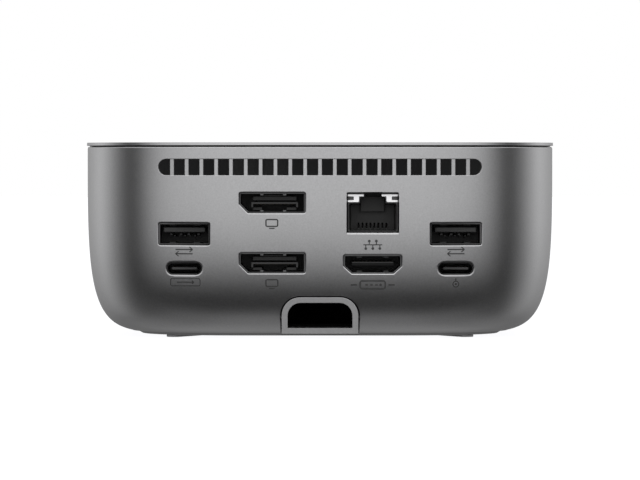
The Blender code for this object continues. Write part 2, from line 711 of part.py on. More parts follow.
def make_chassis():
    chassis = slab("chassis_frame", [plan_outline(8.5 * MM, 5), plan_outline(26 * MM, 5)], CHASSIS_BOTTOM,
                   BOARD_BOTTOM - GAP, "black_plastic")
    places = [(x * SCREW_X, y * SCREW_Y) for x in (-1, 1) for y in (-1, 1)]
    for place in places:
        fuse(chassis, rod("chassis_post", place, 3.0 * MM, 4.7 * MM, 12.5 * MM, steps=16))
    bores = [circle(place, 1.45 * MM, 16) for place in places]
    cut(chassis, slab("post_bores", bores, 4 * MM, 12.2 * MM))


def make_board():
    board = slab("main_board", [plan_outline(BOARD_INSET)], BOARD_BOTTOM, BOARD_TOP, "circuit_board")
    holes = [circle((x * 47 * MM, y * 26 * MM), 1.6 * MM, 20) for x in (-1, 1) for y in (-1, 1)]
    cut(board, slab("board_holes", holes, 13 * MM, 18 * MM))
    seat = BOARD_TOP / MM + 0.3
    box("controller_chip", (-10, -12, seat), (10, 8, seat + 1.4), "chip")
    box("hub_chip", (-28, 4, seat), (-16, 16, seat + 1.2), "chip")
    box("network_chip", (15, -26, seat), (25, -16, seat + 1.2), "chip")
    box("thermal_pad", (-10, -12, seat + 1.7), (10, 8, seat + 2.5), "thermal_pad")
    coil = box("power_coil", (-50, 24, seat), (-39, 35, seat + 6.0), "chip")
    edge = coil.modifiers.new("edge", "BEVEL")
    edge.width = 1.2 * MM
    edge.segments = 1


def heat_sink_outline():
    """A base plate with upright fins, seen from the rear."""
    half = 35.0 * MM
    base_bottom = 19.0 * MM
    base_top = 21.5 * MM
    fin_top = 36.0 * MM
    fins = 12
    fin = 1.2 * MM
    pitch = (2 * half - fin) / (fins - 1)
    points = [(-half, base_bottom), (half, base_bottom)]
    for index in reversed(range(fins)):
        left = -half + index * pitch
        if index < fins - 1:
            points.append((left + fin, base_top))
        points += [(left + fin, fin_top), (left, fin_top)]
        if index > 0:
            points.append((left, base_top))
    return points


def fan_body_outline(inset):
    """The blower seen from above: a round body that opens towards the vent."""
    radius = FAN_BODY_RADIUS - inset
    mouth_half = FAN_MOUTH_HALF - inset
    mouth_y = FAN_MOUTH_Y - 4 * inset
    body = arc((0.0, FAN_CENTRE_Y), radius, 0, 180, 24)
    return body + [(-mouth_half, -44 * MM), (-mouth_half, mouth_y), (mouth_half, mouth_y),
                   (mouth_half, -44 * MM)]


def rotor_outline():
    """Hub and blades as one loop: out along a blade, back along it, then on round the hub."""
    points = []
    blade_angle = 360 / ROTOR_BLADES
    lean = 26.0
    thickness = 1.0 * MM
    steps = 4
    for index in range(ROTOR_BLADES):
        root = index * blade_angle
        sides = []
        for shift in (-0.5, 0.5):
            side = []
            for step in range(steps + 1):
                part = step / steps
                radius = ROTOR_HUB + (ROTOR_RADIUS - ROTOR_HUB) * part
                angle = math.radians(root - lean * part ** 1.4) + shift * thickness / radius
                side.append((radius * math.cos(angle), radius * math.sin(angle)))
            sides.append(side)
        points += sides[0] + sides[1][::-1]
        middle = math.radians(root + blade_angle / 2)
        points.append((ROTOR_HUB * math.cos(middle), ROTOR_HUB * math.sin(middle)))
    return points


def make_cooling():
    bar("heat_sink", [heat_sink_outline()], -28 * MM, 30 * MM, "aluminium")
    housing = slab("fan_housing", [fan_body_outline(0.0)], FAN_BOTTOM, FAN_TOP, "black_plastic")
    cut(housing, slab("fan_cavity", [fan_body_outline(FAN_WALL)], FAN_BOTTOM + 1 * MM, 50 * MM))
    centre = (0.0, FAN_CENTRE_Y)
    intakes = [sector_outline(centre, 9 * MM, 21 * MM, start + 6, start + 114, 10)
               for start in (0, 120, 240)]
    cut(housing, slab("fan_intakes", intakes, 36 * MM, FAN_BOTTOM + 2 * MM))
    slab("fan_cover", [fan_body_outline(0.0)], FAN_TOP + 0.25 * MM, FAN_TOP + 1.0 * MM, "steel")
    rotor_bottom = 40.6 * MM
    rotor_top = 46.2 * MM
    place = Matrix.Translation((0.0, FAN_CENTRE_Y, (rotor_bottom + rotor_top) / 2))
    rotor = extruded("fan_rotor", [rotor_outline()], rotor_top - rotor_bottom, place, "black_plastic")
    bore_top = 45.2 * MM
    cut(rotor, rod("rotor_bore", centre, SPINDLE_RADIUS + SPINDLE_CLEARANCE, 38 * MM, bore_top))
    rod("fan_spindle", centre, SPINDLE_RADIUS, FAN_BOTTOM + 1 * MM + 0.3 * MM, bore_top - GAP, "steel")


# ---------------------------------------------------------------- power button

def make_power_button():
    place = (0.0, BUTTON_Y, 0.0)
    crown = 50.25 * MM
    profile = [(0.0, crown - 0.25 * MM), (4.0 * MM, crown - 0.18 * MM), (BUTTON_RADIUS - 0.5 * MM, crown),
               (BUTTON_RADIUS, crown - 0.4 * MM), (BUTTON_RADIUS, 48.6 * MM),
               (BUTTON_RADIUS + 1.2 * MM, 48.6 * MM), (BUTTON_RADIUS + 1.2 * MM, 47.8 * MM),
               (1.4 * MM, 47.8 * MM), (1.4 * MM, 45.9 * MM), (0.0, 45.9 * MM)]
    turned("power_button", profile, place, "cover_metal", 28)
    ring = turned("power_light_ring", [(LIGHT_RING_INNER, 50.35 * MM), (LIGHT_RING_OUTER, 50.35 * MM),
                                       (LIGHT_RING_OUTER, 48.9 * MM), (LIGHT_RING_INNER, 48.9 * MM),
                                       (LIGHT_RING_INNER, 50.35 * MM)], place, "light_guide", 32)
    ring.modifiers.new("close", "WELD").merge_threshold = 0.001 * MM
    board_top = 41.5 * MM
    box("button_board", (-14, BUTTON_Y / MM - 6, board_top / MM - 1.2),
        (14, BUTTON_Y / MM + 6, board_top / MM), "circuit_board")
    switch = box("power_switch", (-3, BUTTON_Y / MM - 3, 41.8), (3, BUTTON_Y / MM + 3, 45.0), "chip")
    cut(switch, rod("plunger_bore", (0.0, BUTTON_Y), 1.9 * MM, 42.3 * MM, 47 * MM, steps=32))
    rod("switch_plunger", (0.0, BUTTON_Y), 1.6 * MM, 42.3 * MM + BUTTON_TRAVEL + 0.1 * MM, 45.6 * MM,
        "tongue_plastic")


# ---------------------------------------------------------------- front and side ports

def make_front_ports():
    back = 46 * MM
    connector_shell("front_usb_c_shell", usb_c_outline, FRONT_USB_C_X, USB_C_Z, FRONT_FACE, back)
    blade = rounded_box((FRONT_USB_C_X, USB_C_Z), USB_C_TONGUE, 0.3 * MM, 3)
    bar("front_usb_c_tongue", [blade], FRONT_FACE - 0.8 * MM, back, "tongue_plastic")
    low = (AUDIO_X / MM - 3.6, 45.0, 16.2)
    high = (AUDIO_X / MM + 3.6, 56.5, AUDIO_Z / MM + 3.4)
    jack = box("audio_jack", low, high, "black_plastic")
    nose = circle((AUDIO_X, AUDIO_Z), AUDIO_RADIUS, 32)
    fuse(jack, bar("audio_nose", [nose], 55 * MM, FRONT_FACE))
    cut(jack, bar("audio_bore", [circle((AUDIO_X, AUDIO_Z), 1.8 * MM, 28)], 47 * MM, 62 * MM))


def make_side_ports():
    half = 4.8
    y = POWER_INLET_Y / MM
    body = box("power_inlet_body", (-57.0, y - half, 16.2), (-43.5, y + half, 27.0), "black_plastic")
    centre = (POWER_INLET_Y, POWER_INLET_Z)
    nose = circle(centre, POWER_INLET_RADIUS + 1.2 * MM, 32)
    fuse(body, bar("inlet_nose", [nose], POWER_INLET_FACE, -55 * MM, facing="side"))
    bore = circle(centre, POWER_INLET_RADIUS, 32)
    cut(body, bar("inlet_bore", [bore], -62 * MM, -46 * MM, facing="side"))
    bar("power_inlet_pin", [circle(centre, 0.5 * MM, 16)], -57.5 * MM, -46.3 * MM, "steel",
        facing="side")
    plate = rounded_box((LOCK_Y, LOCK_Z), (16 * MM, 10 * MM), 1 * MM)
    slot = rounded_box((LOCK_Y, LOCK_Z), LOCK_SIZE, 0.8 * MM)
    bar("lock_plate", [plate, slot], 56.6 * MM, 58.2 * MM, "steel", facing="side")


clear_scene()
PARTS = make_collection("docking_station")
CUTTERS = make_collection("cutters")
make_main_shell()
make_top_cover()
make_bottom_cover()
make_feet()
make_case_screws()
make_usb_stack(-1, "left")
make_usb_stack(1, "right")
make_display_stack()
make_video_network_stack()
make_host_socket()
make_chassis()
make_board()
make_cooling()
make_power_button()
make_front_ports()
make_side_ports()
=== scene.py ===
"""Looks of the laptop docking station: fine shells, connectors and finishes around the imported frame.

Lengths are in metres. The rear face looks along -Y and +Z is up. Sizes come from the frame's boxes
where the CAD has them; the constants below hold the rest.
"""
import math

import bmesh
import bpy
from mathutils import Matrix, Vector


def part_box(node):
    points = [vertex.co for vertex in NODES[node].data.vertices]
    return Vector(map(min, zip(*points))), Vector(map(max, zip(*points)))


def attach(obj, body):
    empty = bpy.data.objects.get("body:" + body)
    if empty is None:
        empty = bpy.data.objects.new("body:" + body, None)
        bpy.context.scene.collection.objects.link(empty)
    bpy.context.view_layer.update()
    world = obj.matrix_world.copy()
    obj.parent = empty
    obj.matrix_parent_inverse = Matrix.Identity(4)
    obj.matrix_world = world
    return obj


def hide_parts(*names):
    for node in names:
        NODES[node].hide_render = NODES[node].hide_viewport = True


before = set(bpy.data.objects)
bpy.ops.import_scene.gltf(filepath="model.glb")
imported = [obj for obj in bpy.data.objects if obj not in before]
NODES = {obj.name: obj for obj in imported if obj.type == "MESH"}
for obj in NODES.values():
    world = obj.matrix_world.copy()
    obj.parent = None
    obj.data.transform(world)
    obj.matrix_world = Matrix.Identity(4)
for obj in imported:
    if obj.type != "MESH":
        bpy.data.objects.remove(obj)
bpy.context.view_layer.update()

MM = 0.001

# ---------------- the bowl-shaped skin

SHELL_LOW, SHELL_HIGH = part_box("main_shell")
SHELL_HALF = SHELL_HIGH.x
SHELL_TOP = SHELL_HIGH.z
SHELL_EDGE = SHELL_LOW.z
WALL = 1.8 * MM
SIDE_FLAT = 19.0 * MM           # half length of the straight part of each side
CORNER_POWER = 2.25
BOWL_FLOOR = 0.7 * MM
BOWL_POWER_DOWN = 3.96
BOWL_POWER_IN = 13.43
CORNER_STEPS = 28
FLAT_STEPS = 4


def bowl_inset(z):
    """How far the skin has curved inwards at height z."""
    down = min(max((SHELL_TOP - z) / (SHELL_TOP - BOWL_FLOOR), 0.0), 0.9999)
    return SHELL_HALF * (1 - (1 - down ** BOWL_POWER_DOWN) ** (1 / BOWL_POWER_IN))


def bowl_slope(z):
    """Change of the inset with height; it is negative, as the bowl widens upwards."""
    step = 0.01 * MM
    return (bowl_inset(z + step) - bowl_inset(z - step)) / (2 * step)


def skin_depth(along, z):
    """Distance of a side's outer surface from the dock's middle plane."""
    half = SHELL_HALF - bowl_inset(z)
    if abs(along) <= SIDE_FLAT:
        return half
    corner = half - SIDE_FLAT
    u = min((abs(along) - SIDE_FLAT) / corner, 0.999)
    return SIDE_FLAT + corner * (1 - u ** CORNER_POWER) ** (1 / CORNER_POWER)


def skin_field(point):
    """How far a point lies outside the skin (inside is negative), and the skin's normal there."""
    a = max(abs(point.x) - SIDE_FLAT, 0.0)
    b = max(abs(point.y) - SIDE_FLAT, 0.0)
    reach = (a ** CORNER_POWER + b ** CORNER_POWER) ** (1 / CORNER_POWER)
    if reach < 1e-6:
        return -1.0, Vector((0, 0, 1))
    normal = Vector((math.copysign((a / reach) ** (CORNER_POWER - 1), point.x),
                     math.copysign((b / reach) ** (CORNER_POWER - 1), point.y),
                     bowl_slope(min(point.z, SHELL_TOP - 0.02 * MM))))
    distance = reach - (SHELL_HALF - bowl_inset(point.z) - SIDE_FLAT)
    return distance / normal.length, normal.normalized()


def plan_ring(inset, z):
    """The rounded square at one height, counter-clockwise."""
    corner = SHELL_HALF - inset - SIDE_FLAT
    ring = []
    for quarter in range(4):
        turn = Matrix.Rotation(math.radians(90 * quarter), 3, "Z")
        for step in range(CORNER_STEPS + 1):
            angle = math.radians(90 * step / CORNER_STEPS)
            along = corner * math.cos(angle) ** (2 / CORNER_POWER) if step < CORNER_STEPS else 0.0
            across = corner * math.sin(angle) ** (2 / CORNER_POWER)
            ring.append(turn @ Vector((SIDE_FLAT + along, SIDE_FLAT + across, z)))
        for step in range(1, FLAT_STEPS):
            x = SIDE_FLAT - 2 * SIDE_FLAT * step / FLAT_STEPS
            ring.append(turn @ Vector((x, SIDE_FLAT + corner, z)))
    return ring


# ---------------- outlines

def quarter_turn(steps, start=0):
    """Evenly spaced angles over a quarter turn, both ends included."""
    return [math.radians(start + 90 * step / steps) for step in range(steps + 1)]


def arc(centre, radius, start, end, steps):
    points = []
    for step in range(steps + 1):
        angle = math.radians(start + (end - start) * step / steps)
        points.append((centre[0] + radius * math.cos(angle), centre[1] + radius * math.sin(angle)))
    return points


def circle(centre, radius, steps=48):
    return arc(centre, radius, 0, 360, steps)[:-1]


def rounded_box(centre, size, radius, steps=6, grow=0.0):
    half_w = size[0] / 2 - radius
    half_h = size[1] / 2 - radius
    points = []
    for side_x, side_y, start in ((1, 1, 0), (-1, 1, 90), (-1, -1, 180), (1, -1, 270)):
        middle = (centre[0] + side_x * half_w, centre[1] + side_y * half_h)
        points += arc(middle, radius + grow, start, start + 90, steps)
    return points


def offset_corner(before, here, after, grow):
    """A polygon corner moved out by grow along both of its sides."""
    into = (Vector(here) - Vector(before)).normalized()
    out = (Vector(after) - Vector(here)).normalized()
    normal_in = Vector((into.y, -into.x))
    normal_out = Vector((out.y, -out.x))
    middle = normal_in + normal_out
    return Vector(here) + middle * grow / (1 + normal_in.dot(normal_out))


def round_polygon(corners, radii, grow=0.0, steps=4):
    """A counter-clockwise polygon with each corner rounded, grown evenly outwards."""
    points = []
    count = len(corners)
    for i in range(count):
        before, here, after = corners[i - 1], corners[i], corners[(i + 1) % count]
        into = (Vector(here) - Vector(before)).normalized()
        out = (Vector(after) - Vector(here)).normalized()
        turn = math.atan2(into.x * out.y - into.y * out.x, into.dot(out))
        bulge = 1 if turn > 0 else -1
        centre = offset_corner(before, here, after, -bulge * radii[i])
        start = math.atan2(-into.x * bulge, into.y * bulge)
        reach = radii[i] + bulge * grow
        for step in range(steps + 1):
            angle = start + turn * step / steps
            points.append((centre.x + reach * math.cos(angle), centre.y + reach * math.sin(angle)))
    return points


def usb_a_mouth(centre, size, grow=0.0):
    return rounded_box(centre, size, 0.5 * MM, 5, grow)


def usb_c_mouth(centre, size, grow=0.0):
    return rounded_box(centre, size, size[1] / 2 - 0.02 * MM, 10, grow)


def display_mouth(centre, size, grow=0.0):
    """A wide rectangle whose lower left corner is cut off."""
    cut = 2.3 * MM
    x, z = centre
    w, h = size[0] / 2, size[1] / 2
    corners = [(x + w, z + h), (x - w, z + h), (x - w, z - h + cut), (x - w + cut, z - h),
               (x + w, z - h)]
    return round_polygon(corners, [0.55 * MM, 0.55 * MM, 0.35 * MM, 0.35 * MM, 0.55 * MM], grow)


def video_mouth(centre, size, grow=0.0):
    """Straight upper sides, then sides that slope in to a narrower floor."""
    x, z = centre
    w, h = size[0] / 2, size[1] / 2
    waist = z + h - 3.0 * MM
    floor = 5.35 * MM
    corners = [(x + w, z + h), (x - w, z + h), (x - w, waist), (x - floor, z - h),
               (x + floor, z - h), (x + w, waist)]
    return round_polygon(corners, [0.6 * MM, 0.6 * MM, 0.5 * MM, 0.4 * MM, 0.4 * MM, 0.5 * MM], grow)


def jack_mouth(centre, size, grow=0.0):
    """The network jack's cut-out, whose mouth widens mostly at its lower edge."""
    side, top = 0.25 * grow, 0.2 * grow
    low = centre[1] - size[1] / 2 - grow
    high = centre[1] + size[1] / 2 + top
    return rounded_box((centre[0], (low + high) / 2), (size[0] + 2 * side, high - low), 0.35 * MM, 4)


def arch_outline(half, bottom, top, radius, grow=0.0, foot_radius=0.12 * MM):
    """An arch with wide round shoulders and small round feet."""
    corners = [(half, top), (-half, top), (-half, bottom), (half, bottom)]
    return round_polygon(corners, [radius, radius, foot_radius, foot_radius], grow, 10)


# ---------------- mesh helpers

SMOOTH_ANGLE = 32               # edges sharper than this stay sharp
OUTSIDE = 70 * MM               # clear of the dock on every side
PLUG_END = 45 * MM              # where a cut from a side face stops
CLEAR = 0.02 * MM
RIM_EDGE = 0.2 * MM             # rounding of the vent row's and the arch's rims


def resmooth(piece, angle=SMOOTH_ANGLE):
    piece.data.shade_smooth()
    piece.data.set_sharp_from_angle(angle=math.radians(angle))


def mesh_object(name, cage):
    bmesh.ops.recalc_face_normals(cage, faces=cage.faces)
    mesh = bpy.data.meshes.new(name)
    cage.to_mesh(mesh)
    cage.free()
    piece = bpy.data.objects.new(name, mesh)
    resmooth(piece)
    bpy.context.scene.collection.objects.link(piece)
    return piece


def add_rings(cage, rings, caps=True, cyclic=False):
    """Quads between rings of equal length; caps close the ends, cyclic joins last to first.

    Returns the rings' vertices.
    """
    rows = [[cage.verts.new(point) for point in ring] for ring in rings]
    pairs = list(zip(rows, rows[1:]))
    if cyclic:
        pairs.append((rows[-1], rows[0]))
    for first, second in pairs:
        count = len(first)
        for i in range(count):
            after = (i + 1) % count
            cage.faces.new((first[i], second[i], second[after], first[after]))
    if caps and not cyclic:
        cage.faces.new(rows[0])
        cage.faces.new(rows[-1][::-1])
    return rows


def ring_object(name, rings, cyclic=False):
    cage = bmesh.new()
    add_rings(cage, rings, cyclic=cyclic)
    return mesh_object(name, cage)


def rear(across, depth, z):
    """A place on the rear side: across to the right, depth from the middle plane outwards."""
    return Vector((across, -depth, z))


def front(across, depth, z):
    return Vector((across, depth, z))


def right(across, depth, z):
    return Vector((depth, across, z))


def left(across, depth, z):
    return Vector((-depth, across, z))


def at_height(loop, z):
    """A plan outline's points at one height."""
    return [Vector((x, y, z)) for x, y in loop]


def at_depth(loop, depth, side=rear):
    """An outline's points on a side, all at one depth."""
    return [side(x, depth, z) for x, z in loop]


def on_skin(loop, rise, side=rear, skin=skin_depth):
    """An outline's points on a side's skin, risen above it by rise or sunk into it."""
    return [side(x, skin(x, z) + rise, z) for x, z in loop]


def chamfer_edge(width, share):
    """(grow, depth) pairs down a flat chamfer round the mouth of a hole."""
    return [(width, 0.0), (width * 0.08, width * share * 0.92), (0.0, width * share + 0.04 * MM)]


def round_edge(radius):
    """(grow, depth) pairs round the mouth of a hole, from the skin to the hole's wall."""
    return [(radius - radius * math.sin(a), radius - radius * math.cos(a)) for a in quarter_turn(4)]


def mouth_rings(mouth, side, edge, margin, skin=skin_depth):
    """A plug's rings from outside the dock down the edge of its mouth, edge as (grow, depth) pairs."""
    loop = mouth(edge[0][0] + margin)
    rings = [at_depth(loop, OUTSIDE, side), on_skin(loop, CLEAR, side, skin)]
    return rings + [on_skin(mouth(grow), -depth, side, skin) for grow, depth in edge[1:]]


def mouth_cutter(cage, mouth, side, width, share=0.7):
    """Adds a plug that cuts a hole with a chamfered mouth that follows the curved skin."""
    rings = mouth_rings(mouth, side, chamfer_edge(width, share), 0.03 * MM)
    add_rings(cage, rings + [at_depth(mouth(0.0), PLUG_END, side)])


def bake_modifier(piece):
    """Replaces a piece's mesh with what its modifier makes of it."""
    graph = bpy.context.evaluated_depsgraph_get()
    result = bpy.data.meshes.new_from_object(piece.evaluated_get(graph))
    piece.modifiers.clear()
    piece.data = result


def boolean(target, name, cage, operation="DIFFERENCE"):
    """Cuts a cage out of the target, or joins it on."""
    tool = mesh_object(name, cage) if isinstance(cage, bmesh.types.BMesh) else cage
    modifier = target.modifiers.new(name, "BOOLEAN")
    modifier.operation = operation
    modifier.solver = "EXACT"
    modifier.object = tool
    bake_modifier(target)
    bpy.data.objects.remove(tool, do_unlink=True)


def even_normals(piece):
    """Keeps broad flat faces flat to the eye beside their small roundings."""
    modifier = piece.modifiers.new("even", "WEIGHTED_NORMAL")
    modifier.keep_sharp = True
    bake_modifier(piece)


def prism(cage, outline, near, far, edge=0.0, side=rear):
    """Adds a bar along a side's depth whose near end has a small chamfer."""
    rings = []
    if edge:
        centre = Vector((sum(p[0] for p in outline), sum(p[1] for p in outline))) / len(outline)
        tip = [Vector(p) + (centre - Vector(p)).normalized() * edge for p in outline]
        rings.append(at_depth(tip, near, side))
        near = near - edge if near > far else near + edge
    rings += [at_depth(outline, near, side), at_depth(outline, far, side)]
    add_rings(cage, rings)


def lathe(name, profile, centre, steps=72, closed=False):
    """A turned solid: (radius, z) points from the top of the axis down and round."""
    tip = 0.001 * MM
    rings = [at_height(circle(centre, max(radius, tip), steps), z) for radius, z in profile]
    return ring_object(name, rings, cyclic=closed)


# ---------------- materials

SLOW_SCALE = 60.0               # of the slow change of tone in every finish


class Tree:
    """A shader node tree under construction; socket names are given with underscores for spaces."""

    def __init__(self, tree):
        self.nodes, self.links = tree.nodes, tree.links

    def feed(self, node, **inputs):
        """Sets a node's inputs to numbers and colours, or links them to other nodes' outputs."""
        for name, value in inputs.items():
            socket = node.inputs[name.replace("_", " ")]
            if isinstance(value, bpy.types.NodeSocket):
                self.links.new(value, socket)
            else:
                socket.default_value = value

    def add(self, kind, **inputs):
        node = self.nodes.new("ShaderNode" + kind)
        self.feed(node, **inputs)
        return node

    def calc(self, operation, *values):
        node = self.add("Math")
        node.operation = operation
        for socket, value in zip(node.inputs, values):
            if isinstance(value, float):
                socket.default_value = value
            else:
                self.links.new(value, socket)
        return node.outputs[0]

    def ramp(self, factor, stops):
        """A colour along a factor, from (place, colour) pairs."""
        ramp = self.add("ValToRGB", Fac=factor)
        elements = ramp.color_ramp.elements
        elements[0].position, elements[0].color = stops[0][0], (*stops[0][1], 1)
        elements[1].position, elements[1].color = stops[-1][0], (*stops[-1][1], 1)
        for position, colour in stops[1:-1]:
            elements.new(position).color = (*colour, 1)
        return ramp.outputs["Color"]

    def levels(self, factor, *stops):
        """Brightness along a factor, from (place, level) pairs."""
        return self.ramp(factor, [(place, grey(level)) for place, level in stops])

    def mix(self, factor, first, second, output):
        """Shows the first shader where the factor is 0 and the second where it is 1."""
        mix = self.add("MixShader", Fac=factor)
        self.links.new(first.outputs[0], mix.inputs[1])
        self.links.new(second.outputs[0], mix.inputs[2])
        self.links.new(mix.outputs[0], output.inputs["Surface"])


class Finish(Tree):
    """A material whose patterns follow the object's own coordinates."""

    def __init__(self, name):
        self.material = bpy.data.materials.new(name)
        self.material.use_nodes = True
        super().__init__(self.material.node_tree)
        self.shader = self.nodes["Principled BSDF"]
        self.place = self.add("TexCoord").outputs["Object"]

    def noise(self, scale, detail=2.0, stretch=(1, 1, 1)):
        mapping = self.add("Mapping", Scale=stretch, Vector=self.place)
        noise = self.add("TexNoise", Scale=scale, Detail=detail, Vector=mapping.outputs["Vector"])
        return noise.outputs["Fac"]

    def roughness(self, pattern, low, high):
        spread = self.add("MapRange", To_Min=low, To_Max=high, Value=pattern)
        self.feed(self.shader, Roughness=spread.outputs["Result"])

    def bump(self, pattern, strength, distance):
        bump = self.add("Bump", Strength=strength, Distance=distance, Height=pattern)
        self.feed(self.shader, Normal=bump.outputs["Normal"])


def grained(name, dark, light, metallic, rough, grain, bump, stretch, glow):
    """A finish with fine grain, a slow change of tone, varied roughness and a matching bump."""
    finish = Finish(name)
    fine = finish.noise(grain, 3.0, stretch)
    slow = finish.noise(SLOW_SCALE)
    colour = finish.ramp(finish.calc("MULTIPLY_ADD", slow, 0.3, fine), [(0.35, dark), (0.95, light)])
    finish.feed(finish.shader, Base_Color=colour, Metallic=metallic)
    finish.roughness(fine, rough - 0.05, rough + 0.05)
    finish.bump(fine, bump, 0.02 * MM)
    if glow:
        finish.feed(finish.shader, Emission_Color=colour, Emission_Strength=glow)
    return finish.material


def grey(value):
    return (value, value, value * 1.015)


# Name, dark and light tones, metallic, roughness, grain and bump of each finish
FINISHES = {
    "shell": ("blasted_shell", 0.40, 0.49, 1.0, 0.31, 2600, 0.12),
    "cover": ("blasted_cover", 0.42, 0.50, 1.0, 0.31, 2600, 0.10),
    "base": ("satin_base", 0.25, 0.31, 1.0, 0.40, 2600, 0.10),
    "black": ("black_moulding", 0.010, 0.018, 0.0, 0.48, 1800, 0.25),
    "dusk": ("matt_black", 0.008, 0.013, 0.0, 0.7, 1800, 0.2),
    "carrier": ("contact_carrier", 0.060, 0.080, 0.0, 0.5, 2000, 0.15),
    # painted light: the black fan parts get a lighter tone and a faint glow, so the room behind the vent
    # slots is not black
    "painted_glow_fan": ("fan_moulding_painted_glow", 0.060, 0.080, 0.0, 0.5, 2000, 0.15),
    "tongue": ("dark_moulding", 0.022, 0.032, 0.0, 0.42, 2200, 0.2),
    "plated": ("plated_sheet", 0.10, 0.15, 1.0, 0.32, 900, 0.15),
    "contact": ("contact_plating", (0.040, 0.034, 0.026), (0.060, 0.050, 0.036), 1.0, 0.4, 1500, 0.1),
    "jack": ("jack_moulding", 0.040, 0.055, 0.0, 0.45, 2200, 0.15),
    # painted shade: plating made almost black for metal inside the ports, which lies in their shadow
    "shaded_plating": ("plating_painted_shade", 0.030, 0.050, 1.0, 0.34, 900, 0.12),
    # painted shade: near-black with little shine for the parts deep in the cable tunnel, the host port's
    # metal included
    "shade_black": ("black_painted_shade", 0.003, 0.006, 0.0, 0.85, 1800, 0.2),
    "smoke_guide": ("tinted_window", 0.045, 0.065, 0.0, 0.25, 1500, 0.1),
    "bright": ("bright_plating", 0.75, 0.88, 1.0, 0.25, 900, 0.1),
    "guide": ("milky_guide", 0.82, 0.92, 0.0, 0.3, 1200, 0.1),
    # partly the feet's own grey, partly painted light: the tone is raised for the bounce light the floor
    # doesn't give
    "rubber": ("foot_rubber", 0.36, 0.44, 0.0, 0.75, 1500, 0.5),
    "ink": ("printed_ink", 0.035, 0.055, 0.0, 0.55, 2000, 0.1),
    "steel": ("plain_steel", 0.42, 0.55, 1.0, 0.3, 700, 0.2),
    "bare": ("extruded_metal", 0.55, 0.68, 1.0, 0.38, 500, 0.3),
    "chip": ("chip_package", 0.018, 0.03, 0.0, 0.5, 2500, 0.3),
    "pad": ("soft_pad", (0.22, 0.30, 0.42), (0.30, 0.38, 0.50), 0.0, 0.9, 800, 0.4),
}
# Grain drawn out along an axis, light given off, and shine where it isn't the usual
STRETCH = {"plated": (1, 1, 6), "shaded_plating": (1, 1, 6), "steel": (1, 8, 1), "bare": (8, 0.4, 8)}
# the fan parts' glow is painted light, not a lamp
GLOW = {"painted_glow_fan": 0.14, "guide": 0.35}
# the low shine of the near-black painted-shade finish keeps it from showing reflections
SHINE = {"dusk": 0.2, "shade_black": 0.08}


def make_materials():
    made = {}
    for key, (name, dark, light, *numbers) in FINISHES.items():
        if not isinstance(dark, tuple):
            dark, light = grey(dark), grey(light)
        made[key] = grained(name, dark, light, *numbers, STRETCH.get(key, (1, 1, 1)), GLOW.get(key, 0.0))
        if key in SHINE:
            shader = made[key].node_tree.nodes["Principled BSDF"]
            shader.inputs["Specular IOR Level"].default_value = SHINE[key]
    made["board"] = board_material()
    return made


def board_material():
    """Green solder mask over raised copper tracks."""
    finish = Finish("solder_mask")
    tracks = finish.add("TexBrick", Scale=260.0, Color1=(0.012, 0.075, 0.030, 1),
                        Color2=(0.016, 0.090, 0.036, 1), Mortar=(0.030, 0.150, 0.060, 1),
                        Mortar_Size=0.04, Vector=finish.place)
    finish.feed(finish.shader, Base_Color=tracks.outputs["Color"])
    finish.roughness(finish.noise(1200), 0.30, 0.45)
    finish.bump(tracks.outputs["Fac"], 0.3, 0.03 * MM)
    return finish.material


MATERIAL = make_materials()


def place_piece(piece, slot, material, *replaced, body="dock"):
    """Gives a new piece its material and body, and hides the CAD nodes it stands for. The slot argument is
    not used.
    """
    if not piece.data.has_custom_normals:
        even_normals(piece)
    piece.data.materials.clear()
    piece.data.materials.append(MATERIAL[material])
    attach(piece, body)
    if replaced:
        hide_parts(*replaced)


def place_cage(name, cage, slot, material, *replaced, body="dock"):
    """Turns a finished cage into a placed piece."""
    place_piece(mesh_object(name, cage), slot, material, *replaced, body=body)


# ---------------- places of the ports

METAL_GAP = 0.2 * MM
# Width of each mouth's chamfer and its depth as a share of the width
MOUTH_EDGE = {usb_a_mouth: (0.20 * MM, 0.6), usb_c_mouth: (0.42 * MM, 0.34),
              display_mouth: (0.22 * MM, 0.7), video_mouth: (0.24 * MM, 0.7),
              jack_mouth: (0.42 * MM, 0.7)}
ROUND_MOUTH_EDGE = 0.28 * MM


def mouth_of(node, outline):
    """The cut-out round a connector's CAD shell, as a function of how far it is grown."""
    low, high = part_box(node)
    centre = ((low.x + high.x) / 2, (low.z + high.z) / 2)
    size = (high.x - low.x + 2 * METAL_GAP, high.z - low.z + 2 * METAL_GAP)
    return lambda grow=0.0: outline(centre, size, grow)


REAR_CONNECTORS = {
    "left_usb_a": usb_a_mouth,
    "right_usb_a": usb_a_mouth,
    "left_usb_c": usb_c_mouth,
    "right_usb_c": usb_c_mouth,
    "display_upper": display_mouth,
    "display_lower": display_mouth,
    "video": video_mouth,
}
JACK_NODE = "network_jack_insert"
JACK_BACK = 48.4 * MM           # back wall of the plug's room
JACK_PITCH = 1.02 * MM
JACK_SLOT_Z = 29.1 * MM


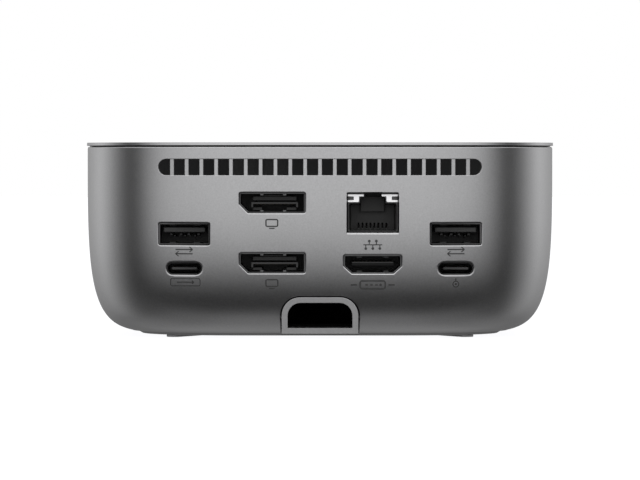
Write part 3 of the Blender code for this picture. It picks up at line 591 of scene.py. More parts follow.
def shell_profile():
    """(inset, z) all the way round the wall's section, starting on the outside at the top."""
    lip = 0.5 * MM
    bevel = ((0.30, 0.0), (0.17, 0.06), (0.09, 0.15), (0.03, 0.30), (0.0, 0.5))
    points = [(inset * MM, SHELL_TOP - down * MM) for inset, down in bevel]
    outer_rings = 44
    outside = []
    for step in range(1, outer_rings + 1):
        share = (1 - step / outer_rings) ** 2.0
        z = SHELL_EDGE + 0.12 * MM + (SHELL_TOP - lip - SHELL_EDGE - 0.12 * MM) * share
        outside.append((bowl_inset(z), z))
    points += outside
    inner_rings = 16
    inside = []
    for step in range(inner_rings + 1):
        share = (step / inner_rings) ** 2.0
        z = SHELL_EDGE + (SHELL_TOP - SHELL_EDGE) * share
        slope = bowl_slope(z)
        length = math.hypot(1.0, slope)
        inside.append((bowl_inset(z) + WALL / length, z - WALL * slope / length))
    rim_inset, rim_z = points[-1]
    points.append((rim_inset + 0.12 * MM, rim_z - 0.08 * MM))
    points += [point for point in inside if point[1] < SHELL_TOP - 1 * MM]
    points.append((WALL, SHELL_TOP))
    return points


def fix_skin_normals(piece):
    """Gives the outer skin the exact normals of its formula, so that cuts leave no dents."""
    mesh = piece.data
    resmooth(piece, 30)
    normals = [corner.vector.copy() for corner in mesh.corner_normals]
    fields = {}
    for polygon in mesh.polygons:
        for loop_index in polygon.loop_indices:
            vertex = mesh.loops[loop_index].vertex_index
            if vertex not in fields:
                fields[vertex] = skin_field(mesh.vertices[vertex].co)
        inside_skin = all(abs(fields[v][0]) < 0.05 * MM for v in polygon.vertices)
        facing = polygon.normal.dot(fields[polygon.vertices[0]][1]) > 0.9
        if inside_skin and facing:
            for loop_index in polygon.loop_indices:
                normals[loop_index] = fields[mesh.loops[loop_index].vertex_index][1]
    mesh.normals_split_custom_set(normals)


# ---------------- vent row

VENT_Z = 44.03 * MM
VENT_HALF_HEIGHT = 2.07 * MM
VENT_HALF_LENGTH = 41.4 * MM
VENT_PITCH = 3.788 * MM
VENT_BAR = 1.02 * MM
VENT_BARS_EACH_SIDE = 10
VENT_SINK = 0.4 * MM            # how far the bars lie behind the skin


def vent_height(x, grow=0.0):
    """Half height of the vent row's outline at a distance from its middle."""
    radius = VENT_HALF_HEIGHT + grow
    past = max(abs(x) - (VENT_HALF_LENGTH - VENT_HALF_HEIGHT), 0.0)
    return math.sqrt(max(radius ** 2 - past ** 2, 0.0))


def vent_outline(grow=0.0):
    """The long slot with round ends, as matching pairs of upper and lower points."""
    straight = VENT_HALF_LENGTH - VENT_HALF_HEIGHT
    radius = VENT_HALF_HEIGHT + grow
    ends = [straight + radius * math.cos(math.radians(a)) for a in range(0, 91, 15)]
    middles = [straight * (1 - 2 * i / 40) for i in range(1, 40)]
    xs = ends + middles + [-x for x in reversed(ends)]
    upper = [(x, VENT_Z + vent_height(x, grow)) for x in xs[1:-1]]
    lower = [(x, VENT_Z - vent_height(x, grow)) for x in reversed(xs[1:-1])]
    return [(xs[0], VENT_Z)] + upper + [(xs[-1], VENT_Z)] + lower


def vent_recess_cutter(cage):
    """A shallow trough with a rounded rim that follows the skin, floor included."""
    rings = mouth_rings(vent_outline, rear, round_edge(RIM_EDGE), 2 * CLEAR)
    rows = add_rings(cage, rings + [on_skin(vent_outline(), -VENT_SINK)], caps=False)
    cage.faces.new(rows[0])
    floor = rows[-1]
    count = len(floor)
    half = count // 2
    cage.faces.new((floor[0], floor[1], floor[-1]))
    for i in range(1, half - 1):
        cage.faces.new((floor[i], floor[i + 1], floor[count - i - 1], floor[count - i]))
    cage.faces.new((floor[half - 1], floor[half], floor[half + 1]))


def vent_slot_cutters(cage):
    """The gaps between the bars, each with slightly flared sides."""
    edges = [-VENT_HALF_LENGTH]
    for index in range(-VENT_BARS_EACH_SIDE, VENT_BARS_EACH_SIDE + 1):
        edges += [index * VENT_PITCH - VENT_BAR / 2, index * VENT_PITCH + VENT_BAR / 2]
    edges.append(VENT_HALF_LENGTH)
    for start, end in zip(edges[::2], edges[1::2]):
        rings = []
        for depth_shift, flare in ((0.25 * MM, 0.10 * MM), (-0.02 * MM, 0.08 * MM), (-0.10 * MM, 0.0),
                                   (-8 * MM, 0.0)):
            low = max(start - flare, -VENT_HALF_LENGTH + 0.02 * MM)
            high = min(end + flare, VENT_HALF_LENGTH - 0.02 * MM)
            xs = [low + (high - low) * i / 6 for i in range(7)]
            loop = [(x, VENT_Z + vent_height(x) - 0.01 * MM) for x in xs]
            loop += [(x, VENT_Z - vent_height(x) + 0.01 * MM) for x in reversed(xs)]
            ring = []
            for x, z in loop:
                ring.append(rear(x, skin_depth(x, z) - VENT_SINK + depth_shift, z))
            rings.append(ring)
        add_rings(cage, rings)


# ---------------- enclosure

BASE_LOW, BASE_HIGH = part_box("bottom_cover")
ARCH_HALF = 9.85 * MM
ARCH_TOP = BASE_HIGH.z
ARCH_RADIUS = 4.8 * MM
ARCH_BOTTOM = 1.0 * MM
ARCH_GAP = 0.3 * MM
ARCH_BACK = 45.5 * MM
TUNNEL_HALF = 8.25 * MM
TUNNEL_TOP = 9.3 * MM
TUNNEL_SILL = 2.9 * MM
TUNNEL_RADIUS = 3.3 * MM
AUDIO_Z = 19.6 * MM


def portal_mouth(grow=0.0):
    return arch_outline(ARCH_HALF + ARCH_GAP, -3 * MM, ARCH_TOP + ARCH_GAP, ARCH_RADIUS + ARCH_GAP, grow)


def portal_cutter(cage):
    """The arch-shaped notch in the shell's lower rear edge."""
    lowest = SHELL_EDGE + 0.3 * MM
    rings = mouth_rings(portal_mouth, rear, round_edge(RIM_EDGE), 2 * CLEAR,
                        lambda s, z: skin_depth(s, max(z, lowest)))
    add_rings(cage, rings + [at_depth(portal_mouth(), 40 * MM)])


def middle_of(node, axis):
    """A node's middle on a side face: its place along the given axis, and its height."""
    low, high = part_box(node)
    return ((low[axis] + high[axis]) / 2, (low.z + high.z) / 2)


def inlet_mouth(grow=0.0):
    return circle(middle_of("power_inlet_pin", 1), 4.9 * MM + grow)


def lock_mouth(grow=0.0):
    return rounded_box(middle_of("lock_plate", 1), (7 * MM, 3 * MM), 0.8 * MM, 6, grow)


def audio_centre():
    return (middle_of("audio_jack", 0)[0], AUDIO_Z)


def audio_mouth(grow=0.0):
    return circle(audio_centre(), 3.3 * MM + grow)


def make_shell():
    rings = [plan_ring(inset, z) for inset, z in shell_profile()]
    shell = ring_object("shell_skin", rings, cyclic=True)
    cage = bmesh.new()
    mouths = [(name + "_shell", outline, rear) for name, outline in REAR_CONNECTORS.items()]
    mouths += [(JACK_NODE, jack_mouth, rear), ("front_usb_c_shell", usb_c_mouth, front)]
    for node, outline, side in mouths:
        mouth_cutter(cage, mouth_of(node, outline), side, *MOUTH_EDGE[outline])
    for mouth, side in ((audio_mouth, front), (inlet_mouth, left), (lock_mouth, right)):
        mouth_cutter(cage, mouth, side, ROUND_MOUTH_EDGE)
    portal_cutter(cage)
    vent_recess_cutter(cage)
    boolean(shell, "mouth_cutters", cage)
    cage = bmesh.new()
    vent_slot_cutters(cage)
    boolean(shell, "slot_cutters", cage)
    fix_skin_normals(shell)
    place_piece(shell, "shell_metal", "shell", "main_shell")


make_shell()

# ---------------- covers and feet

COVER_LOW, COVER_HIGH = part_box("top_cover")
COVER_TOP = COVER_HIGH.z
COVER_OVERHANG = COVER_HIGH.x - SHELL_HALF
BUTTON_LOW, BUTTON_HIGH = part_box("power_button")
BUTTON_Y = (BUTTON_LOW.y + BUTTON_HIGH.y) / 2
LID_THICKNESS = 0.79 * MM
BUTTON_HOLE = 8.3 * MM
BUTTON_RADIUS = 6.6 * MM
SCREWS = [(x * 35.5 * MM, y * 28 * MM) for x in (-1, 1) for y in (-1, 1)]
PLATE_TOP = 2.35 * MM
BOSS_RADIUS = 4 * MM
BOSS_TOP = 4.4 * MM
FOOT_RECESS_TOP = 1.35 * MM
FOOT_GAP = 0.25 * MM
# The screw holes' section from below, as (radius, height) in millimetres
COUNTERBORE = ((3.2, 0.0), (3.2, 1.34), (2.9, 1.64), (2.9, 2.8), (1.5, 2.8), (1.5, 6.0))


def round_corner(inset, z, radius, start, steps):
    """(inset, z) pairs round an outer corner of a plate; start 0 is its top edge, 90 its bottom."""
    return [(inset - radius * math.sin(a), z + radius * math.cos(a)) for a in quarter_turn(steps, start)]


def make_cover():
    """The thin metal lid and the black lip that carries it inside the shell's rim."""
    rounding = 0.05 * MM
    draft = 0.03 * MM
    bottom = COVER_TOP - LID_THICKNESS
    rim = -COVER_OVERHANG
    profile = round_corner(draft + rim + rounding, COVER_TOP - rounding, rounding, 0, 4)
    profile += [(draft + rim, COVER_TOP - 1.4 * rounding), (rim, bottom + 1.4 * rounding)]
    profile += round_corner(rounding + rim, bottom + rounding, rounding, 90, 2)
    cover = ring_object("cover_skin", [plan_ring(inset, z) for inset, z in profile])
    edge = 0.15 * MM
    profile = [(BUTTON_HOLE + edge, COVER_TOP + 1 * MM), (BUTTON_HOLE + edge, COVER_TOP + CLEAR)]
    profile += [(BUTTON_HOLE + grow, COVER_TOP - depth) for grow, depth in round_edge(edge)[1:]]
    profile.append((BUTTON_HOLE, bottom - 1 * MM))
    boolean(cover, "button_hole", lathe("button_hole", profile, (0.0, BUTTON_Y), 96))
    resmooth(cover)
    place_piece(cover, "cover_metal", "cover", "top_cover")

    seat = bottom - CLEAR
    flange, lip_foot = SHELL_TOP + 0.1 * MM, 48.1 * MM
    outer, step, inner = 0.55 * MM, 2.2 * MM, 3.6 * MM
    profile = [(outer, seat), (outer, flange), (step, flange), (step, lip_foot), (inner, lip_foot),
               (inner, seat)]
    lip = ring_object("cover_lip", [plan_ring(inset, z) for inset, z in profile], cyclic=True)
    place_piece(lip, "black_plastic", "black", "top_cover")
    wide, narrow, taper = 1.8 * MM, 1.6 * MM, 0.2 * MM
    for x in (-11 * MM, 11 * MM):
        post = lathe("cover_post_" + ("left" if x < 0 else "right"),
                     [(narrow, seat), (wide, seat - taper), (wide, COVER_LOW.z + taper),
                      (narrow, COVER_LOW.z)], (x, BUTTON_Y), 32)
        place_piece(post, "cover_metal", "cover", "top_cover")


def arch_rings(outline, face, back, edge):
    """Rings of a block seen from the rear, whose front edge is rounded."""
    rings = []
    for angle in quarter_turn(4):
        rings.append(at_depth(outline(edge * math.sin(angle) - edge), face - edge + edge * math.cos(angle)))
    return rings + [at_depth(outline(0.0), back)]


def foot_outline(side_x, side_y):
    """A strip beside the rim whose near end is cut at a slant on its inner side."""
    inner_x, outer_x = 30.5 * MM, 40.05 * MM
    near_y, far_y = 40.3 * MM, 12.0 * MM
    slant_x, slant_y = 36.65 * MM, 26.5 * MM
    corners = [(outer_x, near_y), (slant_x, near_y), (inner_x, slant_y), (inner_x, far_y),
               (outer_x, far_y)]
    points = round_polygon(corners, [3 * MM, 0.5 * MM, 3 * MM, 3 * MM, 3 * MM], 0.0, 8)
    points = [(side_x * x, side_y * y) for x, y in points]
    return points if side_x * side_y > 0 else points[::-1]


def inset_loop(loop, amount):
    """A counter-clockwise loop moved inwards by an even amount."""
    points = []
    count = len(loop)
    for i in range(count):
        along = (Vector(loop[(i + 1) % count]) - Vector(loop[i - 1])).normalized()
        points.append((loop[i][0] - along.y * amount, loop[i][1] + along.x * amount))
    return points


def plan_prism(cage, loop, low, high):
    add_rings(cage, [at_height(loop, z) for z in (low, high)])


def make_base():
    bottom = BASE_LOW.z
    inset = SHELL_HALF - BASE_HIGH.x
    bevel, rise = 1.2 * MM, 0.7 * MM
    profile = [(inset, PLATE_TOP), (inset, bottom + rise + 0.06 * MM), (inset + 0.06 * MM, bottom + rise),
               (inset + bevel, bottom + 0.04 * MM), (inset + bevel + 0.15 * MM, bottom)]
    base = ring_object("base_skin", [plan_ring(i, z) for i, z in profile])
    block = bmesh.new()

    def outer(grow):
        return arch_outline(ARCH_HALF, ARCH_BOTTOM, ARCH_TOP, ARCH_RADIUS, grow)

    def inner(grow):
        return arch_outline(TUNNEL_HALF, TUNNEL_SILL, TUNNEL_TOP, TUNNEL_RADIUS, grow)

    face = -BASE_LOW.y
    add_rings(block, arch_rings(outer, face, ARCH_BACK, 0.16 * MM))
    for x, y in SCREWS:
        plan_prism(block, circle((x, y), BOSS_RADIUS), PLATE_TOP - 0.5 * MM, BOSS_TOP)
    boolean(base, "base_additions", block, "UNION")
    cuts = bmesh.new()
    edge = round_edge(0.1 * MM)
    rings = [at_depth(inner(edge[0][0]), face + 2 * MM), at_depth(inner(edge[0][0]), face + CLEAR)]
    rings += [at_depth(inner(grow), face - depth) for grow, depth in edge[1:]]
    add_rings(cuts, rings + [at_depth(inner(0.0), 42 * MM)])
    for side_x in (-1, 1):
        for side_y in (-1, 1):
            plan_prism(cuts, foot_outline(side_x, side_y), -1 * MM, FOOT_RECESS_TOP)
        for y in spread(5, 6 * MM, 2 * MM):
            slot = rounded_box((side_x * 13 * MM, y), (20 * MM, 2 * MM), 0.98 * MM, 8)
            plan_prism(cuts, slot, -1 * MM, 5 * MM)
    low_edge = ARCH_BOTTOM + 0.45 * MM
    reach = 0.6 * MM
    wedge = ((face + reach, low_edge + reach), (face - low_edge, 0.0), (face + reach, 0.0))
    add_rings(cuts, [[rear(x, depth, z) for depth, z in wedge] for x in (-12 * MM, 12 * MM)])
    boolean(base, "base_cuts", cuts)
    cuts = bmesh.new()
    for x, y in SCREWS:
        add_rings(cuts, [at_height(circle((x, y), radius * MM), z * MM) for radius, z in COUNTERBORE])
    boolean(base, "screw_cuts", cuts)
    resmooth(base)
    place_piece(base, "base_metal", "base", "bottom_cover")


def make_feet():
    edge = 0.15 * MM
    for side_x, name_x in ((-1, "left"), (1, "right")):
        for side_y, name_y in ((-1, "rear"), (1, "front")):
            node = f"foot_{name_y}_{name_x}"
            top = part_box(node)[1].z
            loop = inset_loop(foot_outline(side_x, side_y), FOOT_GAP)
            rings = [at_height(loop, top)]
            for angle in quarter_turn(4):
                rings.append(at_height(inset_loop(loop, edge - edge * math.cos(angle)),
                                       edge - edge * math.sin(angle)))
            # the pads' light grey is partly painted bounce light from the floor
            place_piece(ring_object(node + "_pad", rings), "foot_rubber", "rubber", node)


def make_screws():
    """Case screws with a rounded head and a six-point recess."""
    for x, y in SCREWS:
        name = f"case_screw_{'front' if y > 0 else 'rear'}_{'right' if x > 0 else 'left'}"
        low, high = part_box(name)
        stem, head, edge = 1.1 * MM, 2.5 * MM, 0.3 * MM
        shoulder = low.z + 0.9 * MM
        profile = [(0.8 * MM, high.z), (stem, high.z - 0.4 * MM), (stem, shoulder), (head, shoulder)]
        profile += [(head - edge + edge * math.cos(a), low.z + edge - edge * math.sin(a))
                    for a in quarter_turn(3)]
        screw = lathe(name + "_turned", profile, (x, y), 48)
        recess = bmesh.new()
        star = []
        for i in range(48):
            angle = 2 * math.pi * i / 48
            reach = (1.15 + 0.18 * math.cos(6 * angle)) * MM
            star.append((x + reach * math.cos(angle), y + reach * math.sin(angle)))
        plan_prism(recess, star, low.z - 1 * MM, low.z + 0.7 * MM)
        boolean(screw, "recess", recess)
        resmooth(screw)
        place_piece(screw, "screw_steel", "steel", name)


# ---------------- connectors

METAL = 0.3 * MM


def centre_of(node, side):
    """Where a rear or front connector sits: its middle, its size, and its near and far depths."""
    low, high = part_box(node)
    centre = ((low.x + high.x) / 2, (low.z + high.z) / 2)
    size = (high.x - low.x, high.z - low.z)
    depths = (-low.y, -high.y) if side is rear else (high.y, low.y)
    return centre, size, depths


def make_metal_shell(node, mouth, side, finish="plated", gap=METAL_GAP):
    """A folded sheet-metal shell with a narrow flat rim that funnels inwards."""
    centre, size, (near, far) = centre_of(node, side)
    mouth_size = (size[0] + 2 * METAL_GAP, size[1] + 2 * METAL_GAP)
    lip = 0.05 * MM
    section = [(0.0, far), (0.0, near - lip), (-0.4 * lip, near - 0.15 * lip), (-lip, near),
               (-0.22 * MM, near), (-METAL - lip, near - 0.2 * MM), (-METAL - lip, near - 0.8 * MM),
               (-METAL, near - 1.4 * MM), (-METAL, far)]
    rings = []
    for grow, depth in section:
        loop = mouth(centre, mouth_size, -gap + grow)
        rings.append(at_depth(loop, depth, side))
    shell = ring_object(node.replace("_shell", "_metal"), rings, cyclic=True)
    place_piece(shell, "connector_metal", finish, node)


def make_blade(node, side, radius, edge, shape=None, finish="tongue"):
    """A connector's tongue: a bar with a bevelled front edge, on its CAD node's box."""
    centre, size, (near, far) = centre_of(node, side)
    cage = bmesh.new()
    if shape:
        prism(cage, shape(centre, size), near, far, edge, side)
    else:
        rings = [(-edge, near), (0.0, near - edge if near > far else near + edge), (0.0, far)]
        add_rings(cage, [at_depth(rounded_box(centre, size, radius, 5, grow), depth, side)
                         for grow, depth in rings])
    place_cage(node.replace("_tongue", "_blade"), cage, "connector_plastic", finish, node)
    return centre, size, near, far


def make_contacts(name, side, bars, finish="contact"):
    """Small plated strips; each is (x, z, width, height, near, far)."""
    cage = bmesh.new()
    for x, z, width, height, near, far in bars:
        outline = rounded_box((x, z), (width, height), min(width, height) * 0.3, 2)
        prism(cage, outline, near, far, min(width, height) * 0.2, side)
    place_cage(name, cage, "connector_metal", finish)


def place_bar(name, outline, near, far, edge, slot, material, *replaced):
    """A bar along the rear's depth, placed as a piece."""
    cage = bmesh.new()
    prism(cage, outline, near, far, edge)
    place_cage(name, cage, slot, material, *replaced)


def spread(count, pitch, middle=0.0):
    """Evenly spaced places about a middle."""
    return [middle + (index - (count - 1) / 2) * pitch for index in range(count)]


# the tabs' default finish is plating darkened as painted shade
def make_tabs(name, node, places, size, drop, radius, steps, ends, edge, finish="shaded_plating"):
    """Small tabs along the upper and lower walls inside a connector's metal shell."""
    (middle, level), (_, height), (lip, _) = centre_of(node, rear)      # only the near end counts
    cage = bmesh.new()
    for x in places:
        for sign in (-1, 1):
            z = level + sign * (height / 2 - METAL - drop)
            tab = rounded_box((middle + x, z), size, radius, steps)
            prism(cage, tab, lip - ends[0], lip - ends[1], edge)
    place_cage(name, cage, "connector_metal", finish)


def make_usb_a(prefix):
    make_metal_shell(prefix + "_shell", usb_a_mouth, rear)
    centre, size, near, far = make_blade(prefix + "_tongue", rear, 0.2 * MM, 0.22 * MM)
    under = centre[1] - size[1] / 2
    bars = [(centre[0] + x * MM, under - 0.5 * MM, 0.9 * MM, 0.7 * MM, near - 4.6 * MM, far + 1 * MM)
            for x in (-3.5, -1.0, 1.0, 3.5)]
    bars += [(centre[0] + x * MM, under - 0.9 * MM, 0.55 * MM, 0.5 * MM, near - 5.6 * MM,
              far + 1 * MM) for x in (-2.6, -1.3, 0.0, 1.3, 2.6)]
    make_contacts(prefix + "_contacts", rear, bars, "shaded_plating")
    make_tabs(prefix + "_springs", prefix + "_shell", (-3.1 * MM, 3.1 * MM), (1.9 * MM, 0.4 * MM),
              0.12 * MM, 0.12 * MM, 3, (4.5 * MM, 8.0 * MM), 0.1 * MM)


def make_usb_c(prefix, side):
    # the host port deep in the tunnel gets near-black painted shade on its metal shell and tongue
    buried = prefix == "host_port"
    # the other USB-C shells get plating darkened as painted shade
    make_metal_shell(prefix + "_shell", usb_c_mouth, side, "shade_black" if buried else "shaded_plating", 0.08 * MM)
    centre, size, near, _ = make_blade(prefix + "_tongue", side, 0.3 * MM, 0.12 * MM,
                                         finish="shade_black" if buried else "carrier")
    bars = [(x, centre[1] + level * size[1] / 2, 0.26 * MM, 0.06 * MM, near - 0.5 * MM, near - 4.5 * MM)
            for level in (-1, 1) for x in spread(12, 0.5 * MM, centre[0])]
    make_contacts(prefix + "_contacts", side, bars)


def display_blade(centre, size):
    """The display tongue seen from the front: a bar with two short legs under its ends."""
    x, z = centre
    w, h = size[0] / 2, size[1] / 2
    leg = 0.45 * MM
    bar = 0.45 * MM
    corners = [(x + w, z + h), (x - w, z + h), (x - w, z - h), (x - w + leg, z - h),
               (x - w + leg, z + h - bar), (x + w - leg, z + h - bar), (x + w - leg, z - h),
               (x + w, z - h)]
    return round_polygon(corners, [0.12 * MM] * 8, 0.0, 2)


def make_display_port(level):
    prefix = "display_" + level
    make_metal_shell(prefix + "_shell", display_mouth, rear, "plated", 0.12 * MM)
    centre, _, near, far = make_blade(prefix + "_tongue", rear, 0, 0, display_blade)
    make_contacts(prefix + "_contacts", rear,
                  [(x, centre[1] + 0.12 * MM, 0.42 * MM, 0.16 * MM, near - 0.8 * MM, far + 2 * MM)
                   for x in spread(10, 1 * MM, centre[0])])
    shell_centre = centre_of(prefix + "_shell", rear)[0]
    latches = [x * MM - shell_centre[0] for x in (-14.85, -9.03)]
    make_tabs(prefix + "_latches", prefix + "_shell", latches, (1.0 * MM, 0.55 * MM), 0.1 * MM, 0.2 * MM,
              4, (0.25 * MM, 4 * MM), 0.12 * MM, "plated")
    carrier = bmesh.new()
    for low_x, high_x, low_z, high_z in ((-5.6, 5.6, 0.62, 1.55), (-2.9, 2.9, 1.7, 2.0),
                                         (-5.6, -3.2, -1.9, -1.2), (3.0, 5.6, -1.9, -1.2)):
        middle = (shell_centre[0] + (low_x + high_x) / 2 * MM + 0.6 * MM,
                  shell_centre[1] + (low_z + high_z) / 2 * MM)
        block = rounded_box(middle, ((high_x - low_x) * MM, (high_z - low_z) * MM), 0.12 * MM, 3)
        prism(carrier, block, near - 1.6 * MM, far + 1 * MM, 0.08 * MM)
    place_cage(prefix + "_carrier", carrier, "connector_plastic", "black")


def make_video_port():
    make_metal_shell("video_shell", video_mouth, rear, "plated", 0.12 * MM)
    centre, size, near, far = make_blade("video_tongue", rear, 0.3 * MM, 0.12 * MM, finish="dusk")
    ledge = rounded_box((centre[0], centre[1] + 0.3 * MM), (size[0] - 0.3 * MM, 0.22 * MM), 0.08 * MM, 3)
    place_bar("video_tongue_ledge", ledge, near + 0.12 * MM, near - 1 * MM, 0.05 * MM,
              "connector_plastic", "tongue")
    bars = [(x, centre[1] + level * size[1] / 2, 0.45 * MM, 0.08 * MM, near - 0.7 * MM, far + 4 * MM)
            for level, count in ((1, 10), (-1, 9)) for x in spread(count, 1 * MM, centre[0])]
    make_contacts("video_contacts", rear, bars)
    make_tabs("video_springs", "video_shell", (-3.4 * MM, 3.4 * MM), (1.5 * MM, 0.4 * MM),
              0.12 * MM, 0.12 * MM, 3, (0.5 * MM, 4.5 * MM), 0.1 * MM)


def guide_outline(centre_x, side, grow=0.0):
    """The C-shaped light guide in an upper corner of the network jack."""
    low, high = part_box("network_light_guide_right")
    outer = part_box(JACK_NODE)[1].x - centre_x - 0.05 * MM
    tip = low.x - centre_x
    block_in = tip + 1.2 * MM
    block_out = tip + 2.55 * MM
    bar = 0.45 * MM
    corners = [(outer, low.z), (outer, low.z + bar), (block_out, low.z + bar),
               (block_out, high.z - bar), (outer, high.z - bar), (outer, high.z), (tip, high.z),
               (tip, high.z - bar), (block_in, high.z - bar), (block_in, low.z)]
    points = round_polygon(corners, [0.08 * MM] * 9 + [0.35 * MM], grow, 3)
    points = [(centre_x + side * x, z) for x, z in points]
    return points if side > 0 else points[::-1]


def make_network_jack():
    low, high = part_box(JACK_NODE)
    centre_x = (low.x + high.x) / 2
    near, far = -low.y, -high.y
    middle = (centre_x, (low.z + high.z) / 2)
    outline = rounded_box(middle, (high.x - low.x, high.z - low.z), 0.3 * MM, 4)
    cage = bmesh.new()
    prism(cage, outline, near, far, 0.12 * MM)
    insert = mesh_object("network_jack_housing", cage)
    make_jack_cavity(insert, centre_x, low.z, near)
    place_piece(insert, "connector_plastic", "jack", JACK_NODE)

    wires = bmesh.new()
    for x in spread(8, JACK_PITCH, centre_x):
        rings = []
        for depth, z in ((near - 4.0 * MM, low.z + 0.75 * MM), (near - 6.5 * MM, low.z + 1.1 * MM),
                         (JACK_BACK + 0.3 * MM, low.z + 2.0 * MM)):
            rings.append(at_depth(circle((x, z), 0.14 * MM, 10), depth))
        add_rings(wires, rings)
    # the jack's contacts are plating darkened as painted shade
    place_cage("network_jack_contacts", wires, "connector_metal", "shaded_plating")

    guide_low, guide_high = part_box("network_light_guide_right")
    for side, name in ((-1, "left"), (1, "right")):
        place_bar(f"network_guide_{name}", guide_outline(centre_x, side), near + 0.15 * MM,
                  near - 6 * MM, 0.08 * MM, "light_guide", "guide", f"network_light_guide_{name}")
        window_x = centre_x + side * (guide_high.x - centre_x - 0.62 * MM)
        window = rounded_box((window_x, (guide_low.z + guide_high.z) / 2), (1.15 * MM, 0.85 * MM),
                             0.1 * MM, 3)
        place_bar(f"network_window_{name}", window, near + 0.05 * MM, near - 2 * MM, 0.06 * MM,
                  "light_guide", "smoke_guide")


def make_jack_cavity(insert, centre_x, bottom, near):
    """Cuts the plug's room, the latch's slot, the guides' seats and the contact slots."""
    body, latch, top = 5.95 * MM, 3.1 * MM, 2.2 * MM
    floor, shoulder, latch_top, roof = bottom + 0.35 * MM, 34.6 * MM, 36.2 * MM, 37.1 * MM
    corners = [(body, shoulder), (latch, shoulder), (latch, latch_top), (top, latch_top), (top, roof),
               (-top, roof), (-top, latch_top), (-latch, latch_top), (-latch, shoulder),
               (-body, shoulder), (-body, floor), (body, floor)]
    corners = [(centre_x + x, z) for x, z in corners]
    cuts = bmesh.new()
    rings = []
    for grow, depth in ((0.25 * MM, near + 1 * MM), (0.25 * MM, near), (0.0, near - 0.5 * MM),
                        (0.0, JACK_BACK)):
        rings.append(at_depth(round_polygon(corners, [0.3 * MM] * 12, grow, 2), depth))
    add_rings(cuts, rings)
    boolean(insert, "jack_cavity", cuts)
    cuts = bmesh.new()
    for side in (-1, 1):
        prism(cuts, guide_outline(centre_x, side, 0.06 * MM), near + 1 * MM, near - 6.3 * MM)
    for x in spread(8, JACK_PITCH, centre_x):
        slot = rounded_box((x, JACK_SLOT_Z), (0.5 * MM, 1.2 * MM), 0.1 * MM, 2)
        prism(cuts, slot, JACK_BACK + 2 * MM, JACK_BACK - 4 * MM)
    boolean(insert, "jack_slots", cuts)
    resmooth(insert)
    latch_seat = rounded_box((centre_x, 34.55 * MM), (6.1 * MM, 3.9 * MM), 0.12 * MM, 3)
    place_bar("network_latch_block", latch_seat, JACK_BACK + 3.2 * MM, JACK_BACK - 0.5 * MM, 0.12 * MM,
              "connector_plastic", "black")
    panel = bmesh.new()
    wall = rounded_box((centre_x, 31.1 * MM), (11.3 * MM, 6.6 * MM), 0.2 * MM, 3)
    prism(panel, wall, JACK_BACK + 0.9 * MM, JACK_BACK - 0.3 * MM, 0.1 * MM)
    back = mesh_object("network_jack_carrier", panel)
    cuts = bmesh.new()
    for x in spread(8, JACK_PITCH, centre_x):
        prism(cuts, rounded_box((x, JACK_SLOT_Z), (0.5 * MM, 1.3 * MM), 0.1 * MM, 2),
              JACK_BACK + 2 * MM, JACK_BACK - 1 * MM)
    boolean(back, "carrier_slots", cuts)
    resmooth(back)
    place_piece(back, "connector_plastic", "black")


def make_tunnel():
    """The black lining behind the arch, with the cable socket at its end."""
    low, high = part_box("cable_tunnel")
    wall, floor_wall, flange = 1.2 * MM, 0.8 * MM, 0.9 * MM
    near, far = -low.y, -high.y

    def outer(grow):
        return arch_outline(high.x, low.z, high.z, TUNNEL_RADIUS + 1 * MM, grow, 0.6 * MM)

    def inner(grow):
        return arch_outline(high.x - wall, low.z + floor_wall, TUNNEL_TOP, TUNNEL_RADIUS, grow)

    rings = [at_depth(outer(0.0), far), at_depth(outer(0.0), near), at_depth(inner(0.0), near),
             at_depth(inner(0.0), far + flange), at_depth(inner(-flange), far + flange),
             at_depth(inner(-flange), far)]
    # the lining is finished in near-black painted shade
    place_piece(ring_object("tunnel_lining", rings, cyclic=True), "black_plastic", "shade_black", "cable_tunnel")


def turned_port(name, side, centre, face, section, slot, finish):
    """A turned ring round a port's axis; its section is (radius, rise from the face) in millimetres."""
    rings = [at_depth(circle(centre, radius * MM, 64), face + rise * MM, side)
             for radius, rise in section]
    place_piece(ring_object(name, rings, cyclic=True), slot, finish)


def make_audio_port():
    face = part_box("audio_jack")[1].y
    turned_port("audio_collar", front, audio_centre(), face,
                [(3.1, -2), (3.1, -0.15), (2.95, 0.2), (2.35, 0.2), (2.3, 0.1), (2.3, -2)],
                "connector_plastic", "black")
    turned_port("audio_sleeve", front, audio_centre(), face,
                [(2.28, -2), (2.28, 0.1), (2.1, 0.16), (1.78, -0.1), (1.75, -1), (1.75, -9), (1.85, -9),
                 (1.85, -2)], "connector_metal", "bright")


def make_power_inlet():
    pin_low, pin_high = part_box("power_inlet_pin")
    centre = middle_of("power_inlet_pin", 1)
    face = -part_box("power_inlet_body")[0].x
    turned_port("inlet_collar", left, centre, face,
                [(4.6, -1.5), (4.6, 0.1), (4.4, 0.3), (3.5, 0.3), (3.2, 0), (3.2, -1.5)],
                "connector_plastic", "black")
    turned_port("inlet_sleeve", left, centre, face,
                [(3.25, -1.6), (3.1, -1.5), (3.0, -1.7), (3.0, -11), (3.25, -11)],
                "connector_metal", "plated")
    radius = (pin_high.z - pin_low.z) / 2
    rings = []
    for share in (0.15, 0.55, 0.85, 1.0):
        drop = radius * (1 - math.sqrt(1 - (1 - share) ** 2)) if share < 1 else radius
        rings.append(at_depth(circle(centre, radius * share, 32), -pin_low.x - drop, left))
    rings.append(at_depth(circle(centre, radius, 32), -pin_high.x, left))
    place_piece(ring_object("inlet_pin", rings), "screw_steel", "bright", "power_inlet_pin")


# ---------------- power button

